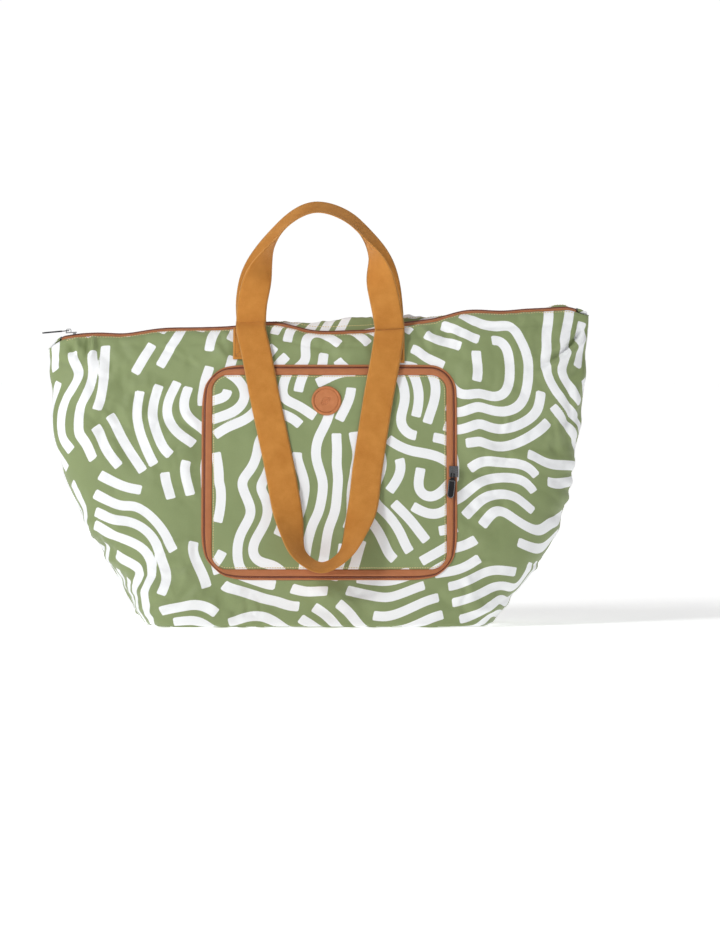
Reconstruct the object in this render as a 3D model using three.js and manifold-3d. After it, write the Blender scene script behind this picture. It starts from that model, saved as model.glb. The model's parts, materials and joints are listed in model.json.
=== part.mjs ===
// A fold-away tote bag standing open to its full size with its zip closed: two tapered fabric panels
// on a rounded base, a zip along the mouth, four webbing loops and a zip-round pouch on the front.
// Millimetres, +Z up, +X to the wearer's right when looking at the front, front towards -Y.
import * as THREE from "three";
import { mergeVertices } from "three/addons/utils/BufferGeometryUtils.js";
import Module from "manifold-3d";

const wasm = await Module();
wasm.setup();

// ---------------------------------------------------------------- driving dimensions
const baseWidth = 442;
const baseDepth = 190;
const mouthWidth = 688;
const zipHeight = 389.5; // height of the zip at the middle of the bag
const zipSlope = 0.055; // rise of the zip towards +X, per millimetre
const fabricThickness = 1.0;
const clearance = 0.3;

const lipGap = 6.5; // middle of the zip to the edge of either panel
const lipRoll = 6; // the rolled-over top of each panel
const bodyShare = 0.88; // part of a panel's height parameter below the rolled lip
const profilePower = 0.7; // how full the panels stand between base and mouth
const flarePower = 2.4; // how soon the sides flare out above the base
const lean = 9; // the lower part of the bag sags this far towards +X
const leanShare = 0.5; // part of the height that leans

const dipCentre = 50; // the zip sags a little between the handles
const dipReach = 140;
const dipDepth = 16;
const dipForward = 8;
const tipDroop = 12; // the left tip hangs below the line of the zip
const tipDroopLength = 20;

const leafHalfWidth = 190; // the middle of each panel, which swings out as the mouth opens
const leafHinge = 50; // height of the crease that it swings on
const zipEnd = 328; // the zip runs this far each side of the middle

const webWidth = 38;
const webThickness = 1.8;
const patchHeight = 40;
const patchOffset = 90; // middle of the bag to the middle of a handle's sewn end
const patchTopLeft = 377;
const patchTopRight = 372.5;

const pouch = { width: 323, height: 272, centreX: 13.5, centreZ: 195, corner: 33 };
const pouchTape = 12.5;
const pouchGap = 4; // half the gap between the two tapes, where the slider sits
const badgeRadius = 19;

// The whole bag is built about its own middle, then moved to put the origin under its box.
const originX = 4.65;
const originY = 0.3;

// ---------------------------------------------------------------- materials
function material(colour, roughness, metalness = 0) {
  return new THREE.MeshStandardMaterial({ color: colour, roughness, metalness });
}
const printedFabric = material(0x9bac73, 0.8);
const webbing = material(0xcb8637, 0.9);
const zipTape = material(0xb86e41, 0.85);
const zipCoil = material(0x6e2d0f, 0.5);
const leather = material(0xcd7e4c, 0.6);
const metal = material(0x8c8c8c, 0.3, 1);
const blackMetal = material(0x2a2a2c, 0.4, 1);

// ---------------------------------------------------------------- geometry helpers
const vector = (x, y, z) => new THREE.Vector3(x, y, z);
const { lerp, smoothstep, degToRad, clamp } = THREE.MathUtils;

function signedVolume(position, index) {
  const [a, b, c] = [vector(), vector(), vector()];
  let total = 0;
  for (let i = 0; i < index.count; i += 3) {
    a.fromBufferAttribute(position, index.getX(i));
    b.fromBufferAttribute(position, index.getX(i + 1));
    c.fromBufferAttribute(position, index.getX(i + 2));
    total += a.dot(b.cross(c)) / 6;
  }
  return total;
}

// Leaves only positions, joins the shared corners and turns every face outwards.
function closed(source) {
  source.deleteAttribute("normal");
  source.deleteAttribute("uv");
  const geometry = mergeVertices(source, 1e-4);
  const index = geometry.index;
  if (signedVolume(geometry.attributes.position, index) < 0) {
    for (let i = 0; i < index.count; i += 3) {
      const first = index.getX(i);
      index.setX(i, index.getX(i + 1));
      index.setX(i + 1, first);
    }
  }
  geometry.computeVertexNormals();
  return geometry;
}

// A thin block of columns by rows cells, each corner put in place by place(u, v, depth), all 0 to 1.
function shapedBlock(columns, rows, place) {
  const block = new THREE.BoxGeometry(1, 1, 1, columns, rows, 1);
  const position = block.attributes.position;
  for (let i = 0; i < position.count; i += 1) {
    const at = place(position.getX(i) + 0.5, position.getY(i) + 0.5, position.getZ(i) + 0.5);
    position.setXYZ(i, at.x, at.y, at.z);
  }
  return closed(block);
}

function toSolid(geometry) {
  return new wasm.Manifold(new wasm.Mesh({
    numProp: 3,
    vertProperties: new Float32Array(geometry.attributes.position.array),
    triVerts: new Uint32Array(geometry.index.array),
  }));
}

function toGeometry(solid) {
  const mesh = solid.getMesh();
  const geometry = new THREE.BufferGeometry();
  geometry.setAttribute("position", new THREE.BufferAttribute(mesh.vertProperties, 3));
  geometry.setIndex(new THREE.BufferAttribute(mesh.triVerts, 1));
  geometry.computeVertexNormals();
  return geometry;
}

function joined(...geometries) {
  return toGeometry(geometries.map(toSolid).reduce((sum, part) => sum.add(part)));
}

const bag = new THREE.Group();

function add(name, geometry, skin, matrix = null) {
  const mesh = new THREE.Mesh(geometry, skin);
  mesh.name = name;
  if (matrix) mesh.applyMatrix4(matrix);
  bag.add(mesh);
  return mesh;
}

// ---------------------------------------------------------------- the shape of the bag
// 1 in the middle, falling to 0 at u = -1 and 1 along a superellipse.
function rounded(u, across, along) {
  return (1 - clamp(Math.abs(u), 0, 1) ** across) ** (1 / along);
}

function halfWidth(t) {
  return baseWidth / 2 + (mouthWidth - baseWidth) / 2 * (1 - (1 - t) ** flarePower);
}

function leanAt(t) {
  return lean * Math.sin(Math.PI * Math.min(1, t / leanShare)) ** 2;
}

function zipLine(x) {
  const along = clamp((x - dipCentre) / dipReach, -1, 1);
  const dip = Math.cos(along * Math.PI / 2) ** 2;
  const past = Math.max(0, tipDroopLength - mouthWidth / 2 - x) / tipDroopLength;
  const straight = zipHeight + zipSlope * x - tipDroop * past ** 1.5;
  return { dip, straight, y: -dipForward * dip, z: straight - dipDepth * dip };
}

// The outer face of a panel. side is -1 at the front and 1 at the back, u runs -1 to 1 across it,
// and v runs from 0 at the base to 1 at the edge sewn to the zip.
function panelPoint(side, u, v) {
  const zip = zipLine(u * mouthWidth / 2);
  const ends = rounded(u, 24, 2);
  const roll = (lipGap + lipRoll) * ends;
  const ridge = side < 0
    ? { y: zip.y - roll, z: zip.z - 1.5 }
    : { y: roll, z: zip.straight - 1.5 + 3 * zip.dip };
  if (v <= bodyShare) {
    const t = v / bodyShare;
    const out = (1 - t) ** profilePower;
    const spread = rounded(u, lerp(9, 4.5, t), lerp(2.6, 1.8, t));
    const y = lerp(ridge.y, side * baseDepth / 2 * spread, out);
    const foot = fabricThickness + 2 * clearance;
    return vector(u * halfWidth(t) + leanAt(t), y + side * clearance, lerp(foot, ridge.z, t));
  }
  const over = (v - bodyShare) / (1 - bodyShare);
  const edgeY = zip.y + side * lipGap * ends;
  const hump = side > 0 ? 4 * zip.dip * Math.sin(over * Math.PI) : 0;
  const y = lerp(ridge.y, edgeY, over) + side * clearance;
  return vector(u * mouthWidth / 2, y, lerp(ridge.z, zip.z, over) + hump);
}

function panelNormal(side, u, v) {
  const step = 1e-3;
  const [uLow, uHigh] = [Math.max(-1, u - step), Math.min(1, u + step)];
  const [vLow, vHigh] = [Math.max(0, v - step), Math.min(1, v + step)];
  const across = panelPoint(side, uHigh, v).sub(panelPoint(side, uLow, v));
  const up = panelPoint(side, u, vHigh).sub(panelPoint(side, u, vLow));
  return across.cross(up).multiplyScalar(-side).normalize();
}

// The point of a panel at width x and height z, lifted off it, and the direction outwards there.
function onPanel(side, x, z, lift = 0) {
  let t = 0.5;
  let u = 0;
  for (let i = 0; i < 6; i += 1) {
    u = clamp((x - leanAt(t)) / halfWidth(t), -1, 1);
    t = clamp(z / panelPoint(side, u, bodyShare).z, 0, 1);
  }
  const out = panelNormal(side, u, t * bodyShare);
  const point = panelPoint(side, u, t * bodyShare).addScaledVector(out, lift);
  return { point, out };
}

// A matrix that stands a piece on a panel: its x across, its y up the panel, its z outwards.
function standOn(side, x, z, lift) {
  const { point, out } = onPanel(side, x, z, lift);
  const right = vector(-side, 0, 0);
  const up = out.clone().cross(right).normalize();
  right.crossVectors(up, out);
  return new THREE.Matrix4().makeBasis(right, up, out).setPosition(point);
}

// ---------------------------------------------------------------- panels
const panelColumns = 26;
const panelRows = 12;

function panelGeometry(side) {
  return shapedBlock(panelColumns, panelRows, (across, v, depth) => {
    const u = Math.sin((across - 0.5) * Math.PI);
    const lift = (depth - 1) * fabricThickness;
    return panelPoint(side, u, v).addScaledVector(panelNormal(side, u, v), lift);
  });
}

function cutter(halfSpan, floor) {
  const height = 600;
  const box = new THREE.BoxGeometry(2 * halfSpan, height, height);
  return toSolid(closed(box.translate(0, 0, floor + height / 2)));
}

for (const [end, side] of [["front", -1], ["back", 1]]) {
  const whole = toSolid(panelGeometry(side));
  const middle = whole.intersect(cutter(leafHalfWidth - clearance, leafHinge + clearance));
  const rest = whole.subtract(cutter(leafHalfWidth + clearance, leafHinge - clearance));
  add(`${end}_panel_middle`, toGeometry(middle), printedFabric);
  add(`${end}_panel_sides`, toGeometry(rest), printedFabric);
}

function basePoint(across, along, depth) {
  const u = Math.sin((across - 0.5) * Math.PI);
  const y = (along - 0.5) * baseDepth * rounded(u, 9, 2.6);
  return vector(u * baseWidth / 2, y, depth * fabricThickness);
}
add("bottom_panel", shapedBlock(20, 4, basePoint), printedFabric);

// Bound seam allowances, inside where the two panels meet at each side.
const seamTop = 0.88;
for (const [name, side] of [["left_seam_binding", -1], ["right_seam_binding", 1]]) {
  add(name, shapedBlock(2, 12, (across, up, depth) => {
    const t = up * seamTop;
    const bottom = fabricThickness + 4 * clearance;
    const top = panelPoint(-1, side, bodyShare).z;
    const x = side * (halfWidth(t) - 5 + 2 * depth) + leanAt(t);
    return vector(x, (across - 0.5) * 3.6, lerp(bottom, top, t));
  }), zipTape);
}

// ---------------------------------------------------------------- the main zip
const coilGap = 0.9; // middle of the zip to either coil
const coilWidth = 2;
const tapeInner = 3.2;
const tapeOuter = 9.4;
const tapeDrop = 3; // the tapes lie this far below the lips
const zipSegments = [
  ["left", -zipEnd, -leafHalfWidth - clearance, 4],
  ["middle", -leafHalfWidth + clearance, leafHalfWidth - clearance, 18],
  ["right", leafHalfWidth + clearance, zipEnd, 4],
];

// A strip beside the middle of the zip, between two distances from it and two heights over it.
function alongZip(from, to, steps, side, inner, outer, low, high) {
  return shapedBlock(steps, 1, (along, across, depth) => {
    const x = lerp(from, to, along);
    const zip = zipLine(x);
    const reach = inner + (outer - inner) * across * rounded(x / (mouthWidth / 2), 24, 2);
    return vector(x, zip.y + side * reach, zip.z + lerp(low, high, depth));
  });
}

for (const [end, side] of [["front", -1], ["back", 1]]) {
  for (const [part, from, to, steps] of zipSegments) {
    add(`${end}_zip_tape_${part}`,
      alongZip(from, to, steps, side, tapeInner, tapeOuter, -tapeDrop - 0.8, -tapeDrop), zipTape);
    add(`${end}_zip_coil_${part}`,
      alongZip(from, to, steps, side, coilGap, coilGap + coilWidth, -4.2, -1.4), zipCoil);
  }
}

// A short block across both coils at each end of the zip, and the folded fabric tab beyond it.
for (const [name, side] of [["left", -1], ["right", 1]]) {
  const [from, to] = [side * (zipEnd + clearance), side * (zipEnd + 2.6)];
  add(`${name}_zip_stop`, alongZip(from, to, 1, 1, -2.4, 2.4, -4.4, -1.2), metal);
  const [near, far] = [side * (zipEnd + 3), side * (zipEnd + 13)];
  add(`${name}_zip_end_tab`, shapedBlock(4, 1, (along, across, depth) => {
    const x = lerp(near, far, along);
    const z = zipLine(x).z + lerp(-5, 0, depth);
    return vector(x, (across - 0.5) * lerp(4.4, 2.4, along), z);
  }), printedFabric);
}

// ---------------------------------------------------------------- sliders and pulls
// In its own frame a slider runs along x, the zip lies in x-y and z points away from the bag. The
// pull's crossbar lies in an arch that stands on the slider's top plate and swings about it.
const plateTop = 1.4;
const pivotHeight = 1.9; // crossbar above the top plate
const archHalfSpan = 3.4;
const archWall = 1;
const archInside = 1.4; // crossbar's middle to the underside of the arch
const sliderLength = 14;
const archX = 3.8 - sliderLength / 2;
const pivot = vector(archX, 0, plateTop + pivotHeight);

function block(width, depth, height, x, y, z) {
  return closed(new THREE.BoxGeometry(width, depth, height).translate(x, y, z));
}

function arch(x) {
  const top = pivotHeight + archInside + 0.1;
  const shape = new THREE.Shape();
  shape.moveTo(-archHalfSpan, 0);
  shape.lineTo(-archHalfSpan, top - 0.6);
  shape.lineTo(1 - archHalfSpan, top + archWall);
  shape.lineTo(archHalfSpan - 1, top + archWall);
  shape.lineTo(archHalfSpan, top - 0.6);
  shape.lineTo(archHalfSpan, 0);
  shape.lineTo(archHalfSpan - archWall, 0);
  shape.lineTo(archHalfSpan - archWall, top);
  shape.lineTo(archWall - archHalfSpan, top);
  shape.lineTo(archWall - archHalfSpan, 0);
  shape.closePath();
  const solid = new THREE.ExtrudeGeometry(shape, { depth: 1.2, bevelEnabled: false });
  return closed(solid.translate(0, 0, -0.6).rotateX(Math.PI / 2).translate(x, 0, plateTop - 0.1));
}

// The pull lies along -x from its crossbar, which is at its origin, and swings up about y.
function pullGeometry(length, width) {
  const outline = new THREE.Shape();
  outline.moveTo(0.6, -2.4);
  outline.lineTo(-6.4, -2.4);
  outline.lineTo(-8.5, -width / 2);
  outline.lineTo(-length + width / 2, -width / 2);
  outline.absarc(-length + width / 2, 0, width / 2, -Math.PI / 2, Math.PI / 2, true);
  outline.lineTo(-8.5, width / 2);
  outline.lineTo(-6.4, 2.4);
  outline.lineTo(0.6, 2.4);
  outline.closePath();
  const eye = new THREE.Path();
  eye.moveTo(-0.6, -1.2);
  eye.lineTo(-0.6, 1.2);
  eye.lineTo(-5, 1.2);
  eye.lineTo(-5, -1.2);
  eye.closePath();
  outline.holes.push(eye);
  const solid = new THREE.ExtrudeGeometry(outline, { depth: 1.2, bevelEnabled: false, curveSegments: 6 });
  return closed(solid.translate(0, 0, -0.6));
}

// The main slider: two plates held by a narrow post that runs between the coils.
const sliderWidth = 9;
const sliderRestX = -316;
const upperPlate = block(sliderLength, sliderWidth, 1.4, 0, 0, 0.7);
const lowerPlate = block(sliderLength, sliderWidth, 1.2, 0, 0, -6);
const post = block(4, 1.1, 6.4, sliderLength / 2 - 3, 0, -3);
const sliderAngle = Math.atan(zipSlope);
const sliderSeat = new THREE.Matrix4().makeRotationY(-sliderAngle)
  .setPosition(sliderRestX, 0, zipLine(sliderRestX).z - 0.5);
add("zip_slider", joined(upperPlate, lowerPlate, post, arch(archX)), metal, sliderSeat);

const pullTilt = degToRad(-5.2); // the pull rests just clear of the zip, pointing past the tip
const pullSeat = new THREE.Matrix4().makeRotationY(pullTilt)
  .setPosition(pivot.clone().applyMatrix4(sliderSeat));
add("zip_pull", pullGeometry(34, 7), blackMetal, pullSeat);

// ---------------------------------------------------------------- the pouch on the front
const frontLift = 0.9; // whatever lies on a panel keeps this much air under it

// Half the width of the pouch's outline, shrunk by inset, at a height above its middle.
function outlineHalfWidth(height, inset) {
  const [halfW, halfH] = [pouch.width / 2 - inset, pouch.height / 2 - inset];
  const corner = pouch.corner - inset;
  const into = Math.max(0, Math.abs(height) - (halfH - corner));
  return halfW - corner + Math.sqrt(Math.max(0, corner ** 2 - into ** 2));
}

const pouchPanelInset = pouchTape + 2 * clearance;
add("pouch_panel", shapedBlock(10, 16, (across, up, depth) => {
  const halfH = pouch.height / 2 - pouchPanelInset;
  const height = halfH * Math.sin((up - 0.5) * Math.PI);
  const x = pouch.centreX + (2 * across - 1) * outlineHalfWidth(height, pouchPanelInset);
  return onPanel(-1, x, pouch.centreZ + height, frontLift + depth * fabricThickness).point;
}), printedFabric);

// One half of the pouch's outline from its right side over the top to its left side, at a given
// inset; up is 1 for the upper half and -1 for the lower half.
function outlinePoint(up, along, inset) {
  const corner = pouch.corner - inset;
  const [halfW, halfH] = [pouch.width / 2 - inset, pouch.height / 2 - inset];
  const side = halfH - corner - pouchGap;
  const arc = corner * Math.PI / 2;
  const top = 2 * (halfW - corner);
  let run = along * (2 * side + 2 * arc + top);
  if (run < side) return [halfW, up * (pouchGap + run)];
  run -= side;
  if (run < arc) {
    const angle = run / corner;
    return [halfW - corner + corner * Math.cos(angle), up * (halfH - corner + corner * Math.sin(angle))];
  }
  run -= arc;
  if (run < top) return [halfW - corner - run, up * halfH];
  run -= top;
  if (run < arc) {
    const angle = Math.PI / 2 + run / corner;
    return [corner - halfW + corner * Math.cos(angle), up * (halfH - corner + corner * Math.sin(angle))];
  }
  run -= arc;
  return [-halfW, up * (halfH - corner - run)];
}

// A strip that follows half of the outline between two insets and two lifts.
function pouchStrip(up, inner, outer, low, high, steps) {
  const middle = (inner + outer) / 2;
  return shapedBlock(steps, 1, (along, across, depth) => {
    const [x, height] = outlinePoint(up, along, middle);
    const [ahead, aheadHeight] = outlinePoint(up, Math.min(1, along + 1e-3), middle);
    const [behind, behindHeight] = outlinePoint(up, Math.max(0, along - 1e-3), middle);
    const run = vector(ahead - behind, aheadHeight - behindHeight, 0).normalize();
    const shift = lerp(inner, outer, across) - middle;
    const [outX, outHeight] = [run.y * up * -shift, -run.x * up * -shift];
    const lift = lerp(low, high, depth);
    return onPanel(-1, pouch.centreX + x + outX, pouch.centreZ + height + outHeight, lift).point;
  });
}

for (const [name, up] of [["upper", 1], ["lower", -1]]) {
  add(`pouch_${name}_tape`, pouchStrip(up, 0, pouchTape, frontLift, frontLift + 0.8, 46), zipTape);
  add(`pouch_${name}_coil`, pouchStrip(up, 4, 7, frontLift + 1.1, frontLift + 2.9, 46), zipCoil);
}

const badgeHeight = 285;
const badgeX = 10;
const badgeProfile = [
  [0, 0], [badgeRadius, 0], [badgeRadius, 1.8], [badgeRadius - 1, 2.4], [badgeRadius - 3, 2.4],
  [badgeRadius - 3.6, 1.8], [0, 1.8],
].map(([radius, height]) => new THREE.Vector2(radius, height));
const badge = closed(new THREE.LatheGeometry(badgeProfile, 24).rotateX(Math.PI / 2));
const badgeSeat = standOn(-1, badgeX, badgeHeight, frontLift + fabricThickness + 2 * clearance);
add("badge", badge, leather, badgeSeat);

// The pouch slider sits where the two tapes start and can run up the coil of the upper one.
const pouchCoilX = pouch.centreX + pouch.width / 2 - 5.5;
const pouchSliderZ = pouch.centreZ;
const pouchSliderLift = frontLift + 2.9 + clearance;
const pouchSeat = standOn(-1, pouchCoilX, pouchSliderZ, pouchSliderLift);
pouchSeat.multiply(new THREE.Matrix4().makeRotationZ(Math.PI / 2));
const pouchPlate = block(sliderLength, sliderWidth, 1.4, 0, 0, 0.7);
const pouchWing = block(sliderLength, 3, 1.4, 0, -5.5, 0.7);
const pouchFlange = block(sliderLength, 1, 3.4, 0, -6.5, -0.3);
add("pouch_slider", joined(pouchPlate, pouchWing, pouchFlange, arch(archX)), blackMetal, pouchSeat);

const pouchPullLean = degToRad(-4); // towards the panel
const pouchPullSwing = degToRad(6); // towards the middle of the pouch
const pouchPullSeat = pouchSeat.clone()
  .multiply(new THREE.Matrix4().makeRotationZ(-pouchPullSwing))
  .multiply(new THREE.Matrix4().makeRotationY(pouchPullLean))
  .setPosition(pivot.clone().applyMatrix4(pouchSeat));
add("pouch_pull", pullGeometry(31, 9), blackMetal, pouchPullSeat);

// ---------------------------------------------------------------- handles
for (const [end, side] of [["front", -1], ["back", 1]]) {
  for (const [name, x, top] of [["left", -patchOffset, patchTopLeft], ["right", patchOffset, patchTopRight]]) {
    add(`${end}_${name}_handle_patch`, shapedBlock(4, 8, (across, up, depth) => {
      const lift = frontLift + depth * 2.4;
      return onPanel(side, x + (across - 0.5) * webWidth, top - (1 - up) * patchHeight, lift).point;
    }), webbing);
  }
}

// A webbing loop along a curve from its left foot to its right foot. At the feet the webbing lies
// flat across near, the direction that its outer edge turns to by the middle of the loop;
// angleAt gives the angle between the two, and outward is 1 or -1 for which edge is the outer one.
function strapGeometry(curve, steps, near, outward, angleAt) {
  return shapedBlock(steps, 1, (along, across, depth) => {
    const centre = curve.getPointAt(along);
    const tangent = curve.getTangentAt(along);
    const angle = angleAt(centre);
    const towards = near(centre);
    towards.addScaledVector(tangent, -towards.dot(tangent)).normalize();
    const out = tangent.clone().cross(towards).multiplyScalar(outward);
    const width = out.multiplyScalar(Math.sin(angle)).addScaledVector(towards, Math.cos(angle));
    const face = tangent.clone().cross(width);
    centre.addScaledVector(width, (across - 0.5) * webWidth);
    return centre.addScaledVector(face, (depth - 0.5) * webThickness);
  });
}

// Each loop's centre line: across in half spans, then 0 at the feet to 1 at its far end.
const shortLoop = [
  [-0.96, 0], [-0.94, 0.22], [-0.8, 0.54], [-0.48, 0.86], [-0.06, 1],
  [0.42, 0.91], [0.76, 0.66], [0.9, 0.36], [1, 0],
];
const longLoop = [
  [-0.96, 0], [-0.88, 0.1], [-0.76, 0.28], [-0.55, 0.57], [-0.42, 0.78], [-0.28, 0.94], [0.05, 1],
  [0.38, 0.94], [0.6, 0.77], [0.69, 0.57], [0.84, 0.28], [0.95, 0.1], [1, 0],
];
const shortApex = 20.5; // how far the tops of the standing loops are from the middle of the bag
const shortFootLift = 2.4; // the standing loops' feet lie this far off the panels
const shortGap = 4.5; // between the top of a patch and the foot of the standing loop above it
const longBottom = 72; // the height of the hanging loops' lowest points, at their middle
const longLift = 6.8;
const longDrop = 6; // the hanging loops start this far under the standing loops' feet

function footHeight(x) {
  return lerp(patchTopLeft, patchTopRight, (x / patchOffset + 1) / 2) + shortGap;
}

function turning(share, from, to, finalAngle) {
  return lerp(Math.PI / 2, degToRad(finalAngle), smoothstep(share, from, to));
}

function shortHandle(side, apex, apexAngle) {
  const points = shortLoop.map(([x, up]) => {
    const width = x * patchOffset;
    const foot = onPanel(side, width, footHeight(width), shortFootLift).point;
    return vector(width, lerp(foot.y, side * shortApex, up), lerp(foot.z, apex, up));
  });
  const curve = new THREE.CatmullRomCurve3(points, false, "centripetal");
  const near = () => vector(0, side, 0);
  const base = footHeight(0);
  const angleAt = (at) => turning((at.z - base) / (apex - base), 0.22, 0.85, apexAngle);
  return strapGeometry(curve, 36, near, side, angleAt);
}
add("front_short_handle", shortHandle(-1, 526, -4), webbing);
add("back_short_handle", shortHandle(1, 533, 22), webbing);

function longHandle(side) {
  const base = footHeight(0) - longDrop;
  const angleAt = (at) => turning((base - at.z) / (base - longBottom), 0.66, 0.97, 28);
  const points = longLoop.map(([x, down]) => {
    const width = x * patchOffset;
    const z = lerp(footHeight(width) - longDrop, longBottom, down);
    const edgeOn = Math.cos(angleAt({ z }));
    return onPanel(side, width, z, longLift + edgeOn * (webWidth / 2 + 1)).point;
  });
  const curve = new THREE.CatmullRomCurve3(points, false, "centripetal");
  const near = (at) => onPanel(side, at.x, at.z).out;
  return strapGeometry(curve, 48, near, -side, angleAt);
}
add("front_long_handle", longHandle(-1), webbing);
add("back_long_handle", longHandle(1), webbing);

bag.position.set(originX, originY, 0);

export default bag;
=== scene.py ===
"""Looks for the fold-away tote bag: cloth, zips, pouch, badge, webbing loops, floor, light and camera.

Lengths are millimetres about the bag's own middle until a mesh is made, +Z up, +X to the right of
someone looking at the front, and the front towards -Y. The shape functions are the CAD part's.
"""

import json
import math

import bpy
import numpy as np
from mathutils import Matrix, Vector, kdtree


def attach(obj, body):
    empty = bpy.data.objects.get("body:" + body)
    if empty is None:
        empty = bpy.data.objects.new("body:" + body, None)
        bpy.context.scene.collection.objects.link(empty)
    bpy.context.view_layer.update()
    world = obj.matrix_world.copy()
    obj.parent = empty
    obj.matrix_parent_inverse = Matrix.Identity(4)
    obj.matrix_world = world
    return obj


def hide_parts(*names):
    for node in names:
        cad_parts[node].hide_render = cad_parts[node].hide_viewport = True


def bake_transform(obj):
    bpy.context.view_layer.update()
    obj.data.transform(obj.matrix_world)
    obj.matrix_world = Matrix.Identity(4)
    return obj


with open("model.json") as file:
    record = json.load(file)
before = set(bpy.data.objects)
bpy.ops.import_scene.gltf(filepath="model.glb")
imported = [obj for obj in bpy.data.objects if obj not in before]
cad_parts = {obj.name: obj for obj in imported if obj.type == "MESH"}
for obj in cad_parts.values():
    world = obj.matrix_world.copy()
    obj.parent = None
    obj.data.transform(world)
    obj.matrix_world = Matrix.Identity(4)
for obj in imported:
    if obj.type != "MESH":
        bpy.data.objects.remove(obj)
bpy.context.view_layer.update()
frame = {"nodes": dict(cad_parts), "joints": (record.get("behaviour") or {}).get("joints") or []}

# ---------------------------------------------------------------- driving dimensions
MM = 0.001
ORIGIN = np.array([4.65, 0.3, 0.0])  # the bag's middle in the row frame

BASE_WIDTH = 442
BASE_DEPTH = 190
MOUTH_WIDTH = 688
ZIP_HEIGHT = 389.5
ZIP_SLOPE = 0.055
CLOTH = 0.8  # thickness of the panels
FOOT = 1.6  # height of the panels' lower edge

LIP_GAP = 6.5
LIP_ROLL = 6
LIP_TILT = {-1: 0.3, 1: -0.04}  # the lips fall away from the zip, more so at the front
LIP_DROP = {-1: 2.8, 1: 1.9}
BODY_SHARE = 0.88
PROFILE_POWER = 0.7
FLARE_POWER = 2.4
LEAN = 9
LEAN_SHARE = 0.5

DIP_CENTRE = 50
DIP_REACH = 140
DIP_DEPTH = 16
DIP_FORWARD = 8
TIP_DROOP = 12
TIP_DROOP_LENGTH = 20
ZIP_END = 328

WEB_WIDTH = 38
WEB_THICKNESS = 1.8
PATCH_HEIGHT = 40
PATCH_OFFSET = 90
PATCH_TOPS = {-1: 377, 1: 372.5}
PATCH_MIDDLE = 352

POUCH_WIDTH = 323
POUCH_HEIGHT = 272
POUCH_X = 13.5
POUCH_Z = 195
POUCH_CORNER = 33
BADGE_RADIUS = 19
BADGE_X = 10
BADGE_Z = 285

STROKE_WIDTH = 12.4
STROKE_GAP = 21.0  # between the middles of neighbouring strokes
STROKE_STEP = 2.5

ENDS = {-1: "front", 1: "back"}
SIDES = {"left": -1, "right": 1}


# ---------------------------------------------------------------- small maths
def mix(a, b, t):
    return a + (b - a) * t


def smooth(t):
    t = np.clip(t, 0, 1)
    return t * t * (3 - 2 * t)


def unit(vectors):
    return vectors / np.maximum(np.linalg.norm(vectors, axis=-1, keepdims=True), 1e-12)


def joined(*parts):
    return np.stack(np.broadcast_arrays(*parts), axis=-1)


def distances(line):
    """How far along a line each of its points is."""
    return np.concatenate([[0], np.cumsum(np.linalg.norm(np.diff(line, axis=0), axis=1))])


def points_along(line, places, run):
    """What lies at those places of a line, whose points are at the distances in run."""
    return np.stack([np.interp(places, run, line[:, i]) for i in range(line.shape[1])], 1)


def wave_set(length, seed, count=16):
    """Random plane waves of about one length, as wave vectors and phases."""
    rng = np.random.default_rng(seed)
    angle = rng.uniform(0, math.pi, count)
    number = 2 * math.pi / (length * rng.uniform(0.72, 1.4, count))
    vectors = np.stack([np.cos(angle) * number, np.sin(angle) * number], 1)
    return vectors, rng.uniform(0, 2 * math.pi, count)


def ripple(x, z, length, seed):
    """Smooth random ripples of about that length, mostly from -1 to 1."""
    vectors, phases = wave_set(length, seed)
    total = sum(np.cos(x * k[0] + z * k[1] + p) for k, p in zip(vectors, phases))
    return total * math.sqrt(2 / len(phases)) * 0.7


# ---------------------------------------------------------------- the shape of the bag
def rounded(u, across, along):
    return (1 - np.clip(np.abs(u), 0, 1) ** across) ** (1 / along)


def half_width(t):
    return BASE_WIDTH / 2 + (MOUTH_WIDTH - BASE_WIDTH) / 2 * (1 - (1 - t) ** FLARE_POWER)


def lean_at(t):
    return LEAN * np.sin(math.pi * np.minimum(1, t / LEAN_SHARE)) ** 2


def zip_line(x, limp=1.0):
    """Where the middle of the zip is at x: how far it dips, its height undipped, its y and its z."""
    along = np.clip((x - DIP_CENTRE) / DIP_REACH, -1, 1)
    dip = np.cos(along * math.pi / 2) ** 2
    past = np.maximum(0, TIP_DROOP_LENGTH - MOUTH_WIDTH / 2 - x) / TIP_DROOP_LENGTH
    straight = ZIP_HEIGHT + ZIP_SLOPE * x - TIP_DROOP * past**1.5
    wobble = 1.7 * ripple(x, 0 * x, 105, 5) * smooth((ZIP_END - 30 - np.abs(x)) / 60)
    left_fall = (np.maximum(0, -x - 300) / 44) ** 1.5
    right_fall = (np.maximum(0, x - 314) / 30) ** 1.5
    corner = 5 * left_fall + 11 * right_fall
    straight = straight + limp * (wobble - corner)
    return dip, straight, -DIP_FORWARD * dip, straight - DIP_DEPTH * dip


def seam_wave(u, height):
    """The side seams are not quite smooth: both panels share their puckers."""
    seam = np.sign(u) * 300
    puckers = 1.5 * ripple(height, seam, 70, 7) + 0.8 * ripple(height, seam, 26, 8)
    ease = smooth(height / 30) * smooth((400 - height) / 60)
    return np.sign(u) * np.abs(u) ** 8 * (puckers - 0.8) * ease


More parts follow.
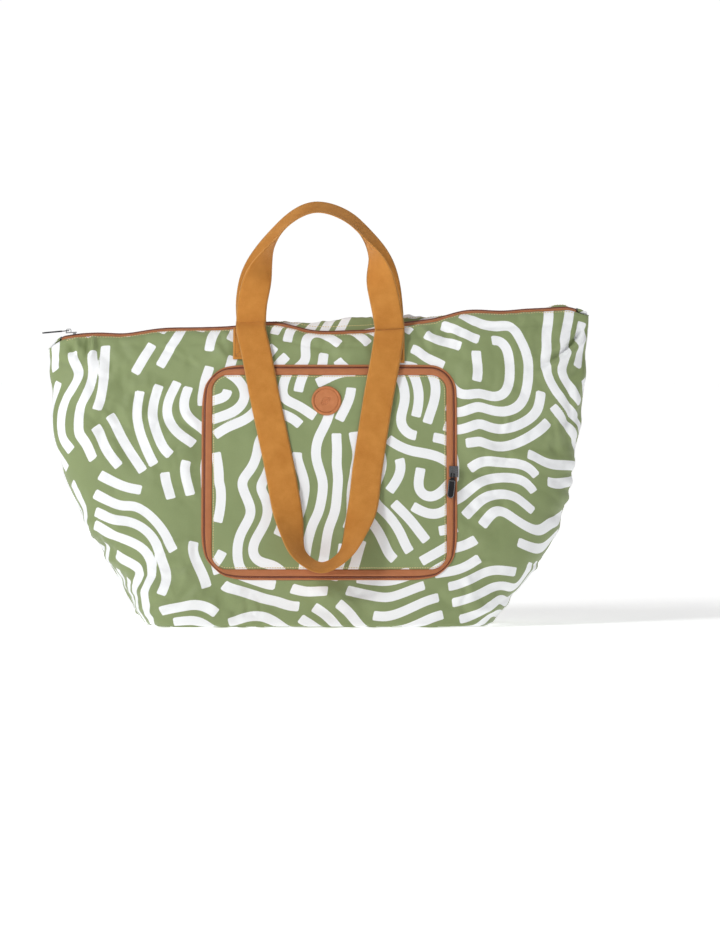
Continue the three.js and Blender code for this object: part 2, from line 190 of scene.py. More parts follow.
def panel_point(side, u, v, limp=1.0):
    """The outer face of a panel: u from -1 to 1 across it, v from 0 at the base to 1 at the zip.

    With limp 0 it is the tidy surface of the CAD part, with 1 it hangs like the real cloth.
    """
    u, v = np.broadcast_arrays(np.asarray(u, float), np.asarray(v, float))
    dip, straight, zip_y, zip_z = zip_line(u * MOUTH_WIDTH / 2, limp)
    ends = rounded(u, 24, 2)
    roll = (LIP_GAP + LIP_ROLL) * ends
    tilt = side * LIP_TILT[side] * limp
    drop = LIP_DROP[side] * limp * ends
    ridge_y = zip_y - roll if side < 0 else roll
    ridge_z = (zip_z if side < 0 else straight + 3 * dip) - 1.5 + tilt * roll - 0.5 * drop
    if side > 0:
        ridge_z = ridge_z + limp * 7 * np.exp(-(((u * MOUTH_WIDTH / 2 - 306) / 15) ** 2))
    t = np.clip(v / BODY_SHARE, 0, 1)
    spread = rounded(u, mix(9, 4.5, t), mix(2.6, 1.8, t))
    body_y = mix(ridge_y, side * BASE_DEPTH / 2 * spread, (1 - t) ** PROFILE_POWER)
    over = np.clip((v - BODY_SHARE) / (1 - BODY_SHARE), 0, 1)
    edge_y = zip_y + side * LIP_GAP * ends
    edge_z = zip_z + tilt * LIP_GAP * ends - drop
    hump = 4 * dip * np.sin(over * math.pi) if side > 0 else 0
    lip = v > BODY_SHARE
    x = np.where(lip, u * MOUTH_WIDTH / 2, u * half_width(t) + lean_at(t))
    y = np.where(lip, mix(ridge_y, edge_y, over), body_y) + side * 0.3
    z = np.where(lip, mix(ridge_z, edge_z, over) + hump, mix(FOOT, ridge_z, t))
    return joined(x + limp * seam_wave(u, z), y, z)


def panel_normal(side, u, v, limp=1.0):
    step = 1e-3
    right = panel_point(side, np.minimum(1, u + step), v, limp)
    left = panel_point(side, np.maximum(-1, u - step), v, limp)
    above = panel_point(side, u, np.minimum(1, v + step), limp)
    below = panel_point(side, u, np.maximum(0, v - step), limp)
    return unit(np.cross(right - left, above - below) * -side)


# Where the cloth has a fold: from x, z to x, z, how deep it is and how wide.
FOLDS = {
    -1: [
        (-294, 380, -301, 326, 8.0, 3.2),
        (-326, 366, -296, 318, 2.6, 4.5),
        (-334, 338, -282, 306, 1.8, 5.0),
        (-314, 368, -318, 336, 3.6, 3.0),
        (-262, 372, -240, 330, 1.3, 5.0),
        (-200, 352, -168, 334, 1.5, 3.0),
        (-166, 336, -146, 320, 1.6, 3.0),
        (-236, 296, -188, 290, 1.2, 4.0),
        (-176, 262, -150, 236, 2.2, 4.5),
        (-258, 250, -226, 262, 1.0, 4.0),
        (-136, 388, -120, 352, 2.2, 4.0),
        (-112, 340, -126, 366, 1.5, 3.5),
        (336, 374, 262, 318, 7.0, 3.4),
        (322, 376, 290, 352, 2.2, 3.6),
        (338, 346, 306, 296, 2.2, 4.5),
        (318, 300, 306, 206, 2.6, 4.0),
        (296, 262, 300, 190, 1.4, 4.0),
        (196, 374, 262, 378, 1.3, 2.4),
        (236, 266, 222, 236, 1.5, 3.0),
        (196, 212, 268, 206, 1.6, 5.0),
        (118, 384, 138, 346, 3.0, 4.0),
        (150, 386, 172, 352, 1.5, 4.0),
        (-150, 64, -196, 22, 3.0, 6.0),
        (-148, 74, -158, 118, 1.6, 4.0),
        (-196, 92, -164, 108, 1.6, 3.0),
        (-226, 66, -178, 58, 1.2, 3.5),
        (178, 62, 186, 30, 2.2, 4.0),
        (176, 72, 236, 74, 1.6, 3.0),
        (292, 60, 196, 26, 2.0, 3.5),
        (296, 84, 258, 78, 2.4, 3.0),
        (-214, 8, -170, 24, 2.2, 4.0),
    ],
    1: [
        (-300, 372, -286, 326, 3.6, 4.5),
        (-326, 356, -280, 318, 2.2, 5.0),
        (330, 374, 270, 322, 3.4, 4.5),
        (322, 340, 300, 260, 2.0, 5.0),
        (-240, 330, -190, 270, 1.6, 6.0),
        (60, 376, 84, 300, 1.4, 6.0),
        (-70, 372, -96, 310, 1.4, 6.0),
        (180, 300, 236, 220, 1.5, 7.0),
        (-200, 90, -236, 24, 2.6, 6.0),
        (210, 96, 244, 22, 2.6, 6.0),
        (-40, 120, 60, 96, 1.0, 7.0),
        (120, 180, 40, 150, 1.0, 7.0),
    ],
}


def fold(x, z, line):
    """A crease with one raised shoulder, fading out at its far end."""
    x0, z0, x1, z1, depth, width = line
    length = math.hypot(x1 - x0, z1 - z0)
    dx, dz = (x1 - x0) / length, (z1 - z0) / length
    along = (x - x0) * dx + (z - z0) * dz
    bend = 0.06 * length * np.sin(math.pi * np.clip(along / length, 0, 1))
    off = (x - x0) * -dz + (z - z0) * dx - bend
    share = along / length
    fade = smooth((share + 0.12) / 0.2) * smooth((1.05 - share) / 0.7)
    valley = -np.exp(-np.sqrt((off / width) ** 2 + 0.02))
    shoulder = 0.9 * np.exp(-(((off - 1.9 * width) / (1.3 * width)) ** 2))
    return 1.35 * depth * fade * (valley + shoulder)


def crumple(x, z, length, seed):
    """Thin cloth crumples into flat facets that meet in creases."""
    first = ripple(x, z, length, seed)
    second = ripple(x, z, 0.8 * length, seed + 1)
    return np.sqrt(first**2 + 0.0008) + 0.8 * np.sqrt(second**2 + 0.0008) - 0.85


def calm(x, z):
    """1 on free cloth, falling to 0 under the pouch and the handle patches, which hold it flat."""
    pouch = np.maximum(np.abs(x - POUCH_X) - POUCH_WIDTH / 2, np.abs(z - POUCH_Z) - POUCH_HEIGHT / 2)
    beside_patch = np.abs(np.abs(x) - PATCH_OFFSET) - WEB_WIDTH / 2
    patch = np.maximum(beside_patch, np.abs(z - PATCH_MIDDLE) - PATCH_HEIGHT / 2)
    return smooth((pouch + 4) / 22) * smooth((patch + 2) / 10)


def relief(side, x, z):
    """How far the cloth stands out from the CAD panel at x, z."""
    patch = np.abs(np.abs(x) - PATCH_OFFSET) + np.abs(z - PATCH_MIDDLE)
    free = calm(x, z) if side < 0 else smooth((patch - 24) / 14)
    top = zip_line(x)[3]
    shape = 2.4 * ripple(x, z * 0.8, 150, 20 + side)
    strength = 0.55 + 0.45 * ripple(x, z, 130, 32 + side)
    shape = shape + 3.6 * strength * crumple(x, z, 92, 24 + side)
    shape = shape + 1.5 * np.maximum(0.15, strength) * crumple(x, z, 40, 28 + side)
    shape = shape + 0.55 * np.maximum(0, strength - 0.2) * crumple(x, z, 19, 44 + side)
    folds = sum(fold(x, z, line) for line in FOLDS[side])
    gather = 0.8 * ripple(x, z * 0.15, 15, 40 + side) * np.exp(-np.maximum(0, top - z) / 11)
    hem = -0.9 * np.exp(-(((top - z - 23) / 1.8) ** 2)) * smooth((x + 200) / 60)
    ease = smooth((z - 2) / 22) * smooth((top - z) / 16)
    return (shape * free + folds * np.maximum(free, 0.25)) * ease + gather + hem * free


def on_panel(side, x, z, lift=0.0, shaped=True):
    """Points of a panel at x and z, lifted off it, and the outward direction at each."""
    x, z = np.broadcast_arrays(np.asarray(x, float), np.asarray(z, float))
    t = np.full(x.shape, 0.5)
    u = np.zeros(x.shape)
    limp = 1.0 if shaped else 0.0
    for _ in range(7):
        u = np.clip((x - lean_at(t)) / half_width(t), -1, 1)
        t = np.clip(z / panel_point(side, u, BODY_SHARE, limp)[..., 2], 0, 1)
    out = panel_normal(side, u, t * BODY_SHARE, limp)
    rise = np.asarray(lift, float) + (relief(side, x, z) if shaped else 0)
    rise = np.broadcast_to(rise, x.shape)[..., None]
    return panel_point(side, u, t * BODY_SHARE, limp) + out * rise, out


# ---------------------------------------------------------------- mesh helpers
def grid_faces(rows, columns, wrap=False, flip=False):
    """Quads over rows by columns points; wrap joins the last column to the first."""
    across = np.arange(columns if wrap else columns - 1)
    r, c = np.meshgrid(np.arange(rows - 1) * columns, across, indexing="ij")
    after = (c + 1) % columns
    faces = np.stack([r + c, r + after, r + columns + after, r + columns + c], -1).reshape(-1, 4)
    return (faces[:, ::-1] if flip else faces).tolist()


def make_object(name, points, faces, *materials):
    mesh = bpy.data.meshes.new(name)
    mesh.from_pydata(((points.reshape(-1, 3) + ORIGIN) * MM).tolist(), [], faces)
    mesh.update()
    mesh.shade_smooth()
    for material in materials:
        mesh.materials.append(material)
    piece = bpy.data.objects.new(name, mesh)
    bpy.context.scene.collection.objects.link(piece)
    return piece


def give_cloth(piece, across, along):
    """Stores where each point lies on the flat cloth, which weaves and grains follow."""
    flat = joined(across, along, 0.0).reshape(-1, 3)
    attribute = piece.data.attributes.new("cloth", "FLOAT_VECTOR", "POINT")
    attribute.data.foreach_set("vector", flat.astype(np.float32).ravel())


def give_print(piece, across, along, strokes):
    attribute = piece.data.attributes.new("print", "FLOAT", "POINT")
    depth = print_depth(np.stack([np.ravel(across), np.ravel(along)], 1), strokes)
    attribute.data.foreach_set("value", depth.astype(np.float32))


def thicken(piece):
    """Gives a sheet its thickness on the inside, where it shows its second material."""
    solid = piece.modifiers.new("thickness", "SOLIDIFY")
    solid.thickness = CLOTH * MM
    solid.offset = -1
    solid.material_offset = 1
    solid.material_offset_rim = 0


def close_seam(piece):
    """Joins the points that lie on each other where a surface meets itself."""
    weld = piece.modifiers.new("weld", "WELD")
    weld.merge_threshold = 1e-6


def rings_object(name, rings, *materials, closed=False):
    """A tube through rings of points; closed joins the last ring to the first, else both are capped."""
    count, size = rings.shape[:2]
    if closed:
        rings = np.concatenate([rings, rings[:1]])
    faces = grid_faces(len(rings), size, wrap=True)
    if not closed:
        faces += [list(range(size))[::-1], [(count - 1) * size + i for i in range(size)]]
    piece = make_object(name, rings, faces, *materials)
    if closed:
        close_seam(piece)
    return piece


def band_profile(width, thickness, cells=12):
    """A flat closed outline with soft edges: across, then out of the face."""
    across = np.linspace(-1, 1, cells + 1)
    half = thickness / 2 * (1 - np.abs(across) ** 14) ** 0.5
    face = np.stack([across * width / 2, half], 1)
    back = np.stack([across[::-1] * width / 2, -half[::-1]], 1)
    return np.concatenate([face, back[1:-1]])


def sweep(centres, across, out, profile):
    """Rings of a profile along centres, with one direction across and one out at each."""
    return centres[:, None] + across[:, None] * profile[None, :, :1] + out[:, None] * profile[None, :, 1:]


def follow_mouth(piece):
    """Bakes the piece's place into its mesh and reads its points back about the bag's middle, in
    millimetres; nothing is done with them.
    """
    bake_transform(piece)
    points = np.empty(len(piece.data.vertices) * 3)
    piece.data.vertices.foreach_get("co", points)
    points = points.reshape(-1, 3) / MM - ORIGIN


def stitches(name, path, out, material, pitch=3.1, length=2.2, radius=0.34, closed=False):
    """Separate rounded stitches along a path of points, each half sunk in what it is sewn through."""
    if closed:
        path = np.concatenate([path, path[:1]])
        out = np.concatenate([out, out[:1]])
    run = distances(path)
    count = max(2, int(run[-1] / pitch))
    middles = (np.arange(count) + 0.5) * run[-1] / count
    centre = points_along(path, middles, run)
    normal = unit(points_along(out, middles, run))
    tangent = unit(points_along(path, middles + 0.4, run) - points_along(path, middles - 0.4, run))
    side = unit(np.cross(normal, tangent))
    stations = np.array([-0.5, -0.42, -0.2, 0.2, 0.42, 0.5]) * length
    sizes = np.array([0.25, 0.8, 1, 1, 0.8, 0.25]) * radius
    sink = np.array([-0.9, -0.35, 0, 0, -0.35, -0.9]) * radius
    angles = np.arange(6) * math.pi / 3
    points, faces = [], []
    for i in range(count):
        base = len(points) * len(stations) * 6
        spine = centre[i] + np.outer(stations, tangent[i]) + np.outer(sink, normal[i])
        turn = np.outer(np.cos(angles), side[i]) + np.outer(np.sin(angles), normal[i])
        points.append(spine[:, None] + turn[None] * sizes[:, None, None])
        ring_faces = [[base + n for n in f] for f in grid_faces(len(stations), 6, wrap=True)]
        last = base + (len(stations) - 1) * 6
        faces += ring_faces + [[base + n for n in range(6)][::-1], [last + n for n in range(6)]]
    return make_object(name, np.array(points), faces, material)


# ---------------------------------------------------------------- the printed pattern
def level_direction(waves, point):
    """The direction along which the sum of waves stays level."""
    vectors, phases = waves
    slope = np.sin(vectors @ point + phases) @ vectors
    return np.array([-slope[1], slope[0]]) / max(math.hypot(*slope), 1e-9)


def evenly(line, step):
    """The line with its points an even step apart."""
    run = distances(line)
    return points_along(line, np.arange(0, run[-1] + 1e-6, step), run)


def nearest(points, others):
    """How far each point is from the nearest of the others."""
    if not len(others):
        return np.full(len(points), 1e9)
    return np.sqrt(((points[:, None] - others[None]) ** 2).sum(-1).min(1))


def trace(waves, start, way, reach, apart, low, high, placed, own):
    """Follows a level line from start until it comes near another stroke, an edge or its own path."""
    run, point, last = [], start, None
    for _ in range(int(reach / STROKE_STEP)):
        halfway = point + level_direction(waves, point) * way * STROKE_STEP / 2
        heading = level_direction(waves, halfway) * way
        if last is not None and heading @ last < math.cos(STROKE_STEP / 12):
            break
        last, point = heading, point + heading * STROKE_STEP
        if (point < low).any() or (point > high).any() or nearest(point[None], placed)[0] < apart:
            break
        steps = np.concatenate([np.arange(len(own)) + 1 + len(run), len(run) - np.arange(len(run))])
        gaps = np.sqrt(((np.array(own + run) - point) ** 2).sum(1))
        if ((gaps < 1.05 * STROKE_GAP) & (steps * STROKE_STEP > 1.7 * STROKE_GAP)).any():
            break
        run.append(point)
    return run


def free_runs(line, low, high, placed):
    """The stretches of a line that keep clear of placed strokes, of themselves and of the edges.

    None of them turns too sharply.
    """
    room = (nearest(line, placed) > 0.93 * STROKE_GAP) & (line > low).all(1) & (line < high).all(1)
    heading = unit(np.gradient(line, axis=0))
    turn = (heading[1:] * heading[:-1]).sum(1)
    room[1:] &= turn > math.cos(STROKE_STEP / 7)
    runs, run, kept = [], [], []
    for i, point in enumerate(line):
        old = kept[: max(0, len(kept) - int(1.5 * STROKE_GAP / STROKE_STEP))]
        close = len(old) and min(math.hypot(*(point - line[j])) for j in old) < 0.93 * STROKE_GAP
        if room[i] and not close:
            run.append(point)
            kept.append(i)
        elif run:
            runs.append(np.array(run))
            run = []
    return [np.array(r) for r in [*runs, run] if len(r) * STROKE_STEP > 16]


def lengthened(stroke, others, low, high):
    """The stroke with its last end carried straight on while it keeps clear of everything."""
    heading = unit(stroke[-1] - stroke[-4])
    line = list(stroke)
    for _ in range(18):
        point = line[-1] + heading * STROKE_STEP
        old = np.array(line[: max(0, len(line) - int(1.6 * STROKE_GAP / STROKE_STEP))]).reshape(-1, 2)
        if nearest(point[None], np.concatenate([others, old]))[0] < 0.9 * STROKE_GAP:
            break
        if (point < low).any() or (point > high).any():
            break
        line.append(point)
    return np.array(line)


def relaxed(line):
    """The line with its sharp bends eased."""
    for _ in range(5):
        line = np.concatenate([line[:1], (line[:-2] + 2 * line[1:-1] + line[2:]) / 4, line[-1:]])
    return line


def wandered(line, seed):
    """The line pushed about a little, as its neighbours are."""
    return line + 3.6 * np.stack([ripple(line[:, 0], line[:, 1], 78, seed + way) for way in (1, 2)], 1)


def squiggles(low, high, seed, length=80):
    """Nested meandering strokes: some wander freely and the rest run beside them at an even distance."""
    rng = np.random.default_rng(seed)
    waves = wave_set(length, seed + 100, 22)
    low, high = np.array(low, float) - 20, np.array(high, float) + 20
    placed, strokes = np.empty((0, 2)), []
    for start in rng.uniform(low, high, (260, 2)):
        if nearest(start[None], placed)[0] < 2.4 * STROKE_GAP:
            continue
        reach = rng.uniform(110, 300, 2)
        ahead = trace(waves, start, 1, reach[0], 1.9 * STROKE_GAP, low, high, placed, [start])
        behind = trace(waves, start, -1, reach[1], 1.9 * STROKE_GAP, low, high, placed, [start, *ahead])
        stroke = np.array([*behind[::-1], start, *ahead])
        if len(stroke) * STROKE_STEP > 80:
            strokes.append(stroke)
            placed = np.concatenate([placed, stroke])
    waiting = list(strokes)
    while waiting:
        stroke = waiting.pop(0)
        heading = unit(np.gradient(stroke, axis=0))
        aside = np.stack([-heading[:, 1], heading[:, 0]], 1) * STROKE_GAP
        for line in (stroke + aside, stroke - aside):
            ends = [3 * line[:1] - 2 * line[4:5], line, 3 * line[-1:] - 2 * line[-5:-4]]
            for run in free_runs(evenly(np.concatenate(ends), STROKE_STEP), low, high, placed):
                cut = int(rng.uniform(90, 380) / STROKE_STEP)
                gap = int(0.9 * STROKE_GAP / STROKE_STEP)
                while len(run) * STROKE_STEP > 26:
                    whole = len(run) < cut + 3 * gap
                    piece, run = (run, run[:0]) if whole else (run[:cut], run[cut + gap :])
                    piece = piece[nearest(piece, placed) > 0.88 * STROKE_GAP]
                    if len(piece) * STROKE_STEP > 26:
                        strokes.append(piece)
                        placed = np.concatenate([placed, piece])
                        waiting.append(piece)
    for i in [*range(len(strokes)), *range(len(strokes))]:
        others = np.concatenate(strokes[:i] + strokes[i + 1 :])
        strokes[i] = lengthened(strokes[i], others, low, high)[::-1]
    strokes = [stroke for stroke in strokes if len(stroke) * STROKE_STEP > 38]
    return [relaxed(wandered(stroke, seed)) for stroke in strokes]


def print_depth(points, strokes):
    """How far inside a stroke each point of the cloth lies, in millimetres, negative outside."""
    spots, heads, ends = [], [], []
    for stroke in strokes:
        run = distances(stroke)
        places = np.linspace(0, run[-1], max(4, int(run[-1])))
        line = points_along(stroke, places, run)
        spots.append(line)
        heads.append(unit(np.gradient(line, axis=0)))
        ends.append(np.stack([places, run[-1] - places], 1))
    spots, heads, ends = np.concatenate(spots), np.concatenate(heads), np.concatenate(ends)
    tree = kdtree.KDTree(len(spots))
    for i, (x, y) in enumerate(spots):
        tree.insert((x, y, 0), i)
    tree.balance()
    closest = np.array([tree.find((x, y, 0))[1] for x, y in points])
    away = points - spots[closest]
    head = heads[closest]
    along = (away * head).sum(1)
    aside = np.abs(away[:, 0] * head[:, 1] - away[:, 1] * head[:, 0])
    to_end = np.minimum(ends[closest, 0] + along, ends[closest, 1] - along)
    within = (ends[closest] > 0).all(1)
    inside = STROKE_WIDTH / 2 - np.where(within, np.linalg.norm(away, axis=1), aside)
    corner = 1.6
    round_off = corner - np.hypot(np.maximum(0, corner - inside), np.maximum(0, corner - to_end))
    return np.where((inside < corner) & (to_end < corner), round_off, np.minimum(inside, to_end))


# ---------------------------------------------------------------- materials
def colour(red, green, blue):
    """Screen values from 0 to 255 as the linear colour that nodes take."""
    parts = [c / 255 for c in (red, green, blue)]
    return (*[c / 12.92 if c <= 0.04045 else ((c + 0.055) / 1.055) ** 2.4 for c in parts], 1.0)


class Look:
    """A material and short ways to add nodes to it."""

    def __init__(self, name):
        self.material = bpy.data.materials.new(name)
        self.material.use_nodes = True
        self.tree = self.material.node_tree
        self.surface = self.tree.nodes["Principled BSDF"]

    def node(self, kind, settings=None, **inputs):
        node = self.tree.nodes.new("ShaderNode" + kind)
        for key, value in (settings or {}).items():
            setattr(node, key, value)
        for key, value in inputs.items():
            self.put(node.inputs[int(key[1:]) if key[0] == "i" and key[1:].isdigit() else key], value)
        return node

    def put(self, socket, value):
        if isinstance(value, bpy.types.NodeSocket):
            self.tree.links.new(value, socket)
        else:
            socket.default_value = value

    def math(self, operation, a, b=0.0, c=0.0):
        return self.node("Math", {"operation": operation}, i0=a, i1=b, i2=c).outputs[0]

    def attribute(self, name, output):
        return self.node("Attribute", {"attribute_name": name}).outputs[output]

    def noise(self, vector, size, detail=2.0, roughness=0.5):
        node = self.node("TexNoise", Vector=vector, Scale=1 / size, Detail=detail, Roughness=roughness)
        return node.outputs["Fac"]

    def ramp(self, value, low, high, to_low=0.0, to_high=1.0):
        node = self.node("MapRange", i0=value, i1=low, i2=high, i3=to_low, i4=to_high)
        return node.outputs["Result"]

    def blend(self, share, a, b, kind="MIX"):
        node = self.node("Mix", {"data_type": "RGBA", "blend_type": kind}, i0=share, i6=a, i7=b)
        return node.outputs[2]

    def bump(self, height, depth, before=None, strength=1.0):
        node = self.node("Bump", Height=height, Distance=depth * MM, Strength=strength)
        if before is not None:
            self.put(node.inputs["Normal"], before)
        return node.outputs["Normal"]

    def finish(self, **inputs):
        for key, value in inputs.items():
            self.put(self.surface.inputs[key.replace("_", " ")], value)
        return self.material

    def cloth(self):
        """Where a point is on the flat cloth, in millimetres: the vector and its two parts."""
        vector = self.attribute("cloth", "Vector")
        parts = self.node("SeparateXYZ", Vector=vector)
        return vector, parts.outputs[0], parts.outputs[1]

    def weave(self, across, along, pitch):
        turns = 2 * math.pi / pitch
        threads = [self.math("SINE", self.math("MULTIPLY", place, turns)) for place in (across, along)]
        return self.math("MULTIPLY", *threads)


def fabric_look(name, printed):
    """Thin plain-woven polyester, printed on its outer face or bare on its inner one."""
    look = Look(name)
    vector, across, along = look.cloth()
    patches = look.noise(vector, 55, 3)
    fine = look.noise(vector, 1.1, 2)
    green = look.blend(patches, colour(128, 142, 94), colour(147, 160, 113))
    green = look.blend(look.ramp(fine, 0.3, 0.7, 0.0, 0.16), green, colour(104, 120, 68))
    white = look.blend(fine, colour(236, 238, 240), colour(248, 249, 250))
    if printed:
        depth = look.attribute("print", "Fac")
        ragged = look.math("ADD", depth, look.ramp(look.noise(vector, 2.2, 3), 0, 1, -0.22, 0.22))
        ink = look.ramp(ragged, -0.22, 0.22)
        base = look.blend(ink, green, white)
    else:
        base = look.blend(patches, colour(176, 184, 158), colour(190, 197, 172))
    weave = look.weave(across, along, 0.62)
    crease = look.noise(vector, 9, 5, 0.62)
    normal = look.bump(crease, 0.55, strength=0.55)
    normal = look.bump(weave, 0.035, normal, 0.6)
    rough = look.ramp(look.noise(vector, 14, 3), 0.3, 0.7, 0.5, 0.62)
    return look.finish(
        Base_Color=base, Roughness=rough, Normal=normal, Sheen_Weight=0.18, Sheen_Roughness=0.45,
        Specular_IOR_Level=0.36,
    )


def webbing_look(name):
    """Heavy cotton webbing in a fine herringbone, with a highlight painted along its two edges."""
    look = Look(name)
    vector, across, along = look.cloth()
    zigzag = look.math("PINGPONG", look.math("ADD", across, 60.0), 2.1)
    ribs = look.math("SINE", look.math("MULTIPLY", look.math("ADD", along, zigzag), 2 * math.pi / 1.25))
    threads = look.weave(across, along, 0.85)
    height = look.math("ADD", look.math("MULTIPLY", ribs, 0.6), look.math("MULTIPLY", threads, 0.4))
    speckle = look.noise(vector, 0.9, 2)
    patches = look.noise(vector, 22, 4, 0.6)
    base = look.blend(look.ramp(patches, 0.3, 0.72), colour(190, 122, 46), colour(212, 145, 66))
    base = look.blend(look.ramp(height, -0.9, 0.9, 0.34, 0.0), base, colour(150, 86, 22))
    base = look.blend(look.ramp(speckle, 0.42, 0.75, 0.0, 0.3), base, colour(228, 166, 92))
    # Painted highlight: both edges of the strap are lightened where light would catch the webbing's
    # thickness.
    edge = look.math("ABSOLUTE", across)
    base = look.blend(look.ramp(edge, 17.6, 18.6, 0.0, 0.55), base, colour(232, 178, 112))
    normal = look.bump(patches, 0.5, strength=0.3)
    normal = look.bump(height, 0.16, normal, 0.7)
    return look.finish(
        Base_Color=base, Roughness=look.ramp(speckle, 0.3, 0.7, 0.72, 0.86), Normal=normal,
        Sheen_Weight=0.25, Sheen_Roughness=0.5, Sheen_Tint=colour(240, 200, 150), Specular_IOR_Level=0.25,
    )


def tape_look(name):
    """Woven zip tape: fine ribs along it, a little shiny."""
    look = Look(name)
    vector, across, along = look.cloth()
    zigzag = look.math("PINGPONG", look.math("ADD", across, 60.0), 1.3)
    ribs = look.math("SINE", look.math("MULTIPLY", look.math("ADD", along, zigzag), 2 * math.pi / 0.9))
    patches = look.noise(vector, 12, 3)
    base = look.blend(patches, colour(176, 106, 62), colour(200, 130, 86))
    base = look.blend(look.ramp(ribs, -1, 1, 0.28, 0.0), base, colour(126, 62, 28))
    normal = look.bump(ribs, 0.1, strength=0.6)
    return look.finish(
        Base_Color=base, Roughness=look.ramp(patches, 0.3, 0.7, 0.5, 0.66), Normal=normal,
        Sheen_Weight=0.2, Sheen_Roughness=0.4, Specular_IOR_Level=0.4,
    )


def coil_look(name):
    look = Look(name)
    place = look.node("TexCoord").outputs["Object"]
    tone = look.noise(place, 0.004, 3)
    base = look.blend(tone, colour(92, 40, 20), colour(128, 64, 36))
    normal = look.bump(look.noise(place, 0.0006, 2), 0.05, strength=0.4)
    return look.finish(
        Base_Color=base, Roughness=look.ramp(tone, 0.3, 0.7, 0.3, 0.46), Normal=normal,
        Specular_IOR_Level=0.55, Coat_Weight=0.15,
    )


def leather_look(name):
    look = Look(name)
    vector, _, _ = look.cloth()
    cells = look.node("TexVoronoi", {"feature": "DISTANCE_TO_EDGE"}, Vector=vector, Scale=1.3)
    grain = look.ramp(cells.outputs["Distance"], 0.0, 0.14)
    cloudy = look.noise(vector, 6, 4)
    base = look.blend(cloudy, colour(188, 114, 66), colour(208, 136, 86))
    base = look.blend(look.ramp(grain, 0, 1, 0.35, 0.0), base, colour(146, 76, 38))
    normal = look.bump(grain, 0.07, strength=0.5)
    return look.finish(
        Base_Color=base, Roughness=look.ramp(cloudy, 0.3, 0.7, 0.46, 0.6), Normal=normal,
        Specular_IOR_Level=0.45,
    )


def metal_look(name, dark, light, metallic, rough):
    look = Look(name)
    place = look.node("TexCoord").outputs["Object"]
    tone = look.noise(place, 0.006, 3)
    stretched = look.node("Mapping", Vector=place, Scale=(1.0, 1.0, 7.0)).outputs[0]
    scratches = look.noise(stretched, 0.0005, 2)
    base = look.blend(tone, dark, light)
    normal = look.bump(scratches, 0.002, strength=0.12)
    return look.finish(
        Base_Color=base, Metallic=metallic, Roughness=look.ramp(scratches, 0.3, 0.7, rough, rough + 0.16),
        Normal=normal,
    )


def thread_look(name, dark, light):
    look = Look(name)
    place = look.node("TexCoord").outputs["Object"]
    twist = look.node("TexWave", {"bands_direction": "DIAGONAL"}, Vector=place, Scale=900.0, Distortion=1.5)
    tone = look.blend(look.noise(place, 0.02, 2), dark, light)
    base = look.blend(look.ramp(twist.outputs["Fac"], 0, 1, 0.0, 0.3), tone, dark)
    normal = look.bump(twist.outputs["Fac"], 0.06, strength=0.5)
    return look.finish(Base_Color=base, Roughness=0.62, Normal=normal, Sheen_Weight=0.2)


def floor_look():
    look = Look("floor_paper")
    place = look.node("TexCoord").outputs["Object"]
    tone = look.noise(place, 0.35, 3)
    base = look.blend(tone, colour(250, 250, 250), colour(254, 254, 254))
    away = look.node("VectorMath", {"operation": "LENGTH"}, i0=place).outputs["Value"]
    glow = look.ramp(away, 0.5, 2.2, 0.5, 0.84)
    return look.finish(
        Base_Color=base, Roughness=0.9, Specular_IOR_Level=0.1,
        Emission_Color=colour(255, 255, 255), Emission_Strength=glow,
    )


PRINTED = fabric_look("printed_fabric", True)
LINING = fabric_look("fabric_inside", False)
WEBBING = webbing_look("webbing")
TAPE = tape_look("zip_tape")
COIL = coil_look("zip_coil")
LEATHER = leather_look("badge_leather")
SILVER = metal_look("silver_metal", colour(112, 112, 114), colour(158, 158, 160), 1.0, 0.24)
BLACK = metal_look("black_metal", colour(18, 18, 20), colour(44, 44, 48), 0.6, 0.3)
CREAM_THREAD = thread_look("cream_thread", colour(214, 190, 122), colour(238, 222, 170))
BROWN_THREAD = thread_look("brown_thread", colour(110, 58, 26), colour(150, 88, 44))


# ---------------------------------------------------------------- front and back cloth
COLUMNS = 281
ROWS = 176
UNDER = 9  # how far each panel turns in under the base
TUCK = 3  # how far its folded edge goes down beside the zip
LIP_ROW = -5  # the row of points, from the tucked edge, that the topstitching follows


def cloth_surface(side):
    """Points of a panel's cloth from under the base to its tucked edge, and where they lie when flat."""
    stages = [np.linspace(0, 0.8, 60), np.linspace(0.8, BODY_SHARE, 24), np.linspace(BODY_SHARE, 1, 12)]
    heights = np.unique(np.concatenate(stages))
    dense = np.sin(np.linspace(-0.5, 0.5, 1201) * math.pi)
    shares = np.linspace(-1, 1, COLUMNS)
    rows, flats = [], []
    for v in heights:
        line = panel_point(side, dense, v)
        run = distances(line)
        middle = run[len(run) // 2]
        target = middle + shares * np.where(shares < 0, middle, run[-1] - middle)
        u = np.interp(target, run, dense)
        rows.append(panel_point(side, u, v))
        flats.append(target - middle)
    first, last = rows[0], rows[-1]
    inward = first * np.array([1 - UNDER / 220, 1 - UNDER / 95, 1.0])
    tucked = last + np.array([0, -side * 0.4, -TUCK])
    rows = np.array([inward, *rows, tucked])
    flats = np.array([flats[0], *flats, flats[-1]])
    surface = np.empty((ROWS, COLUMNS, 3))
    flat = np.empty((ROWS, COLUMNS, 2))
    for c in range(COLUMNS):
        run = distances(rows[:, c])
        places = np.linspace(0, run[-1], ROWS)
        surface[:, c] = points_along(rows[:, c], places, run)
        flat[:, c, 0] = np.interp(places, run, flats[:, c])
        flat[:, c, 1] = places
    return soften(surface, 1.3), flat


def soften(surface, spread):
    """Rounds the bends of a surface along its columns."""
    reach = np.arange(-4, 5)
    kernel = np.exp(-((reach / spread) ** 2) / 2)
    kernel /= kernel.sum()
    ends = [2 * surface[:1] - surface[1:5][::-1], surface, 2 * surface[-1:] - surface[-5:-1][::-1]]
    padded = np.concatenate(ends)
    return sum(k * padded[i : i + len(surface)] for i, k in enumerate(kernel))


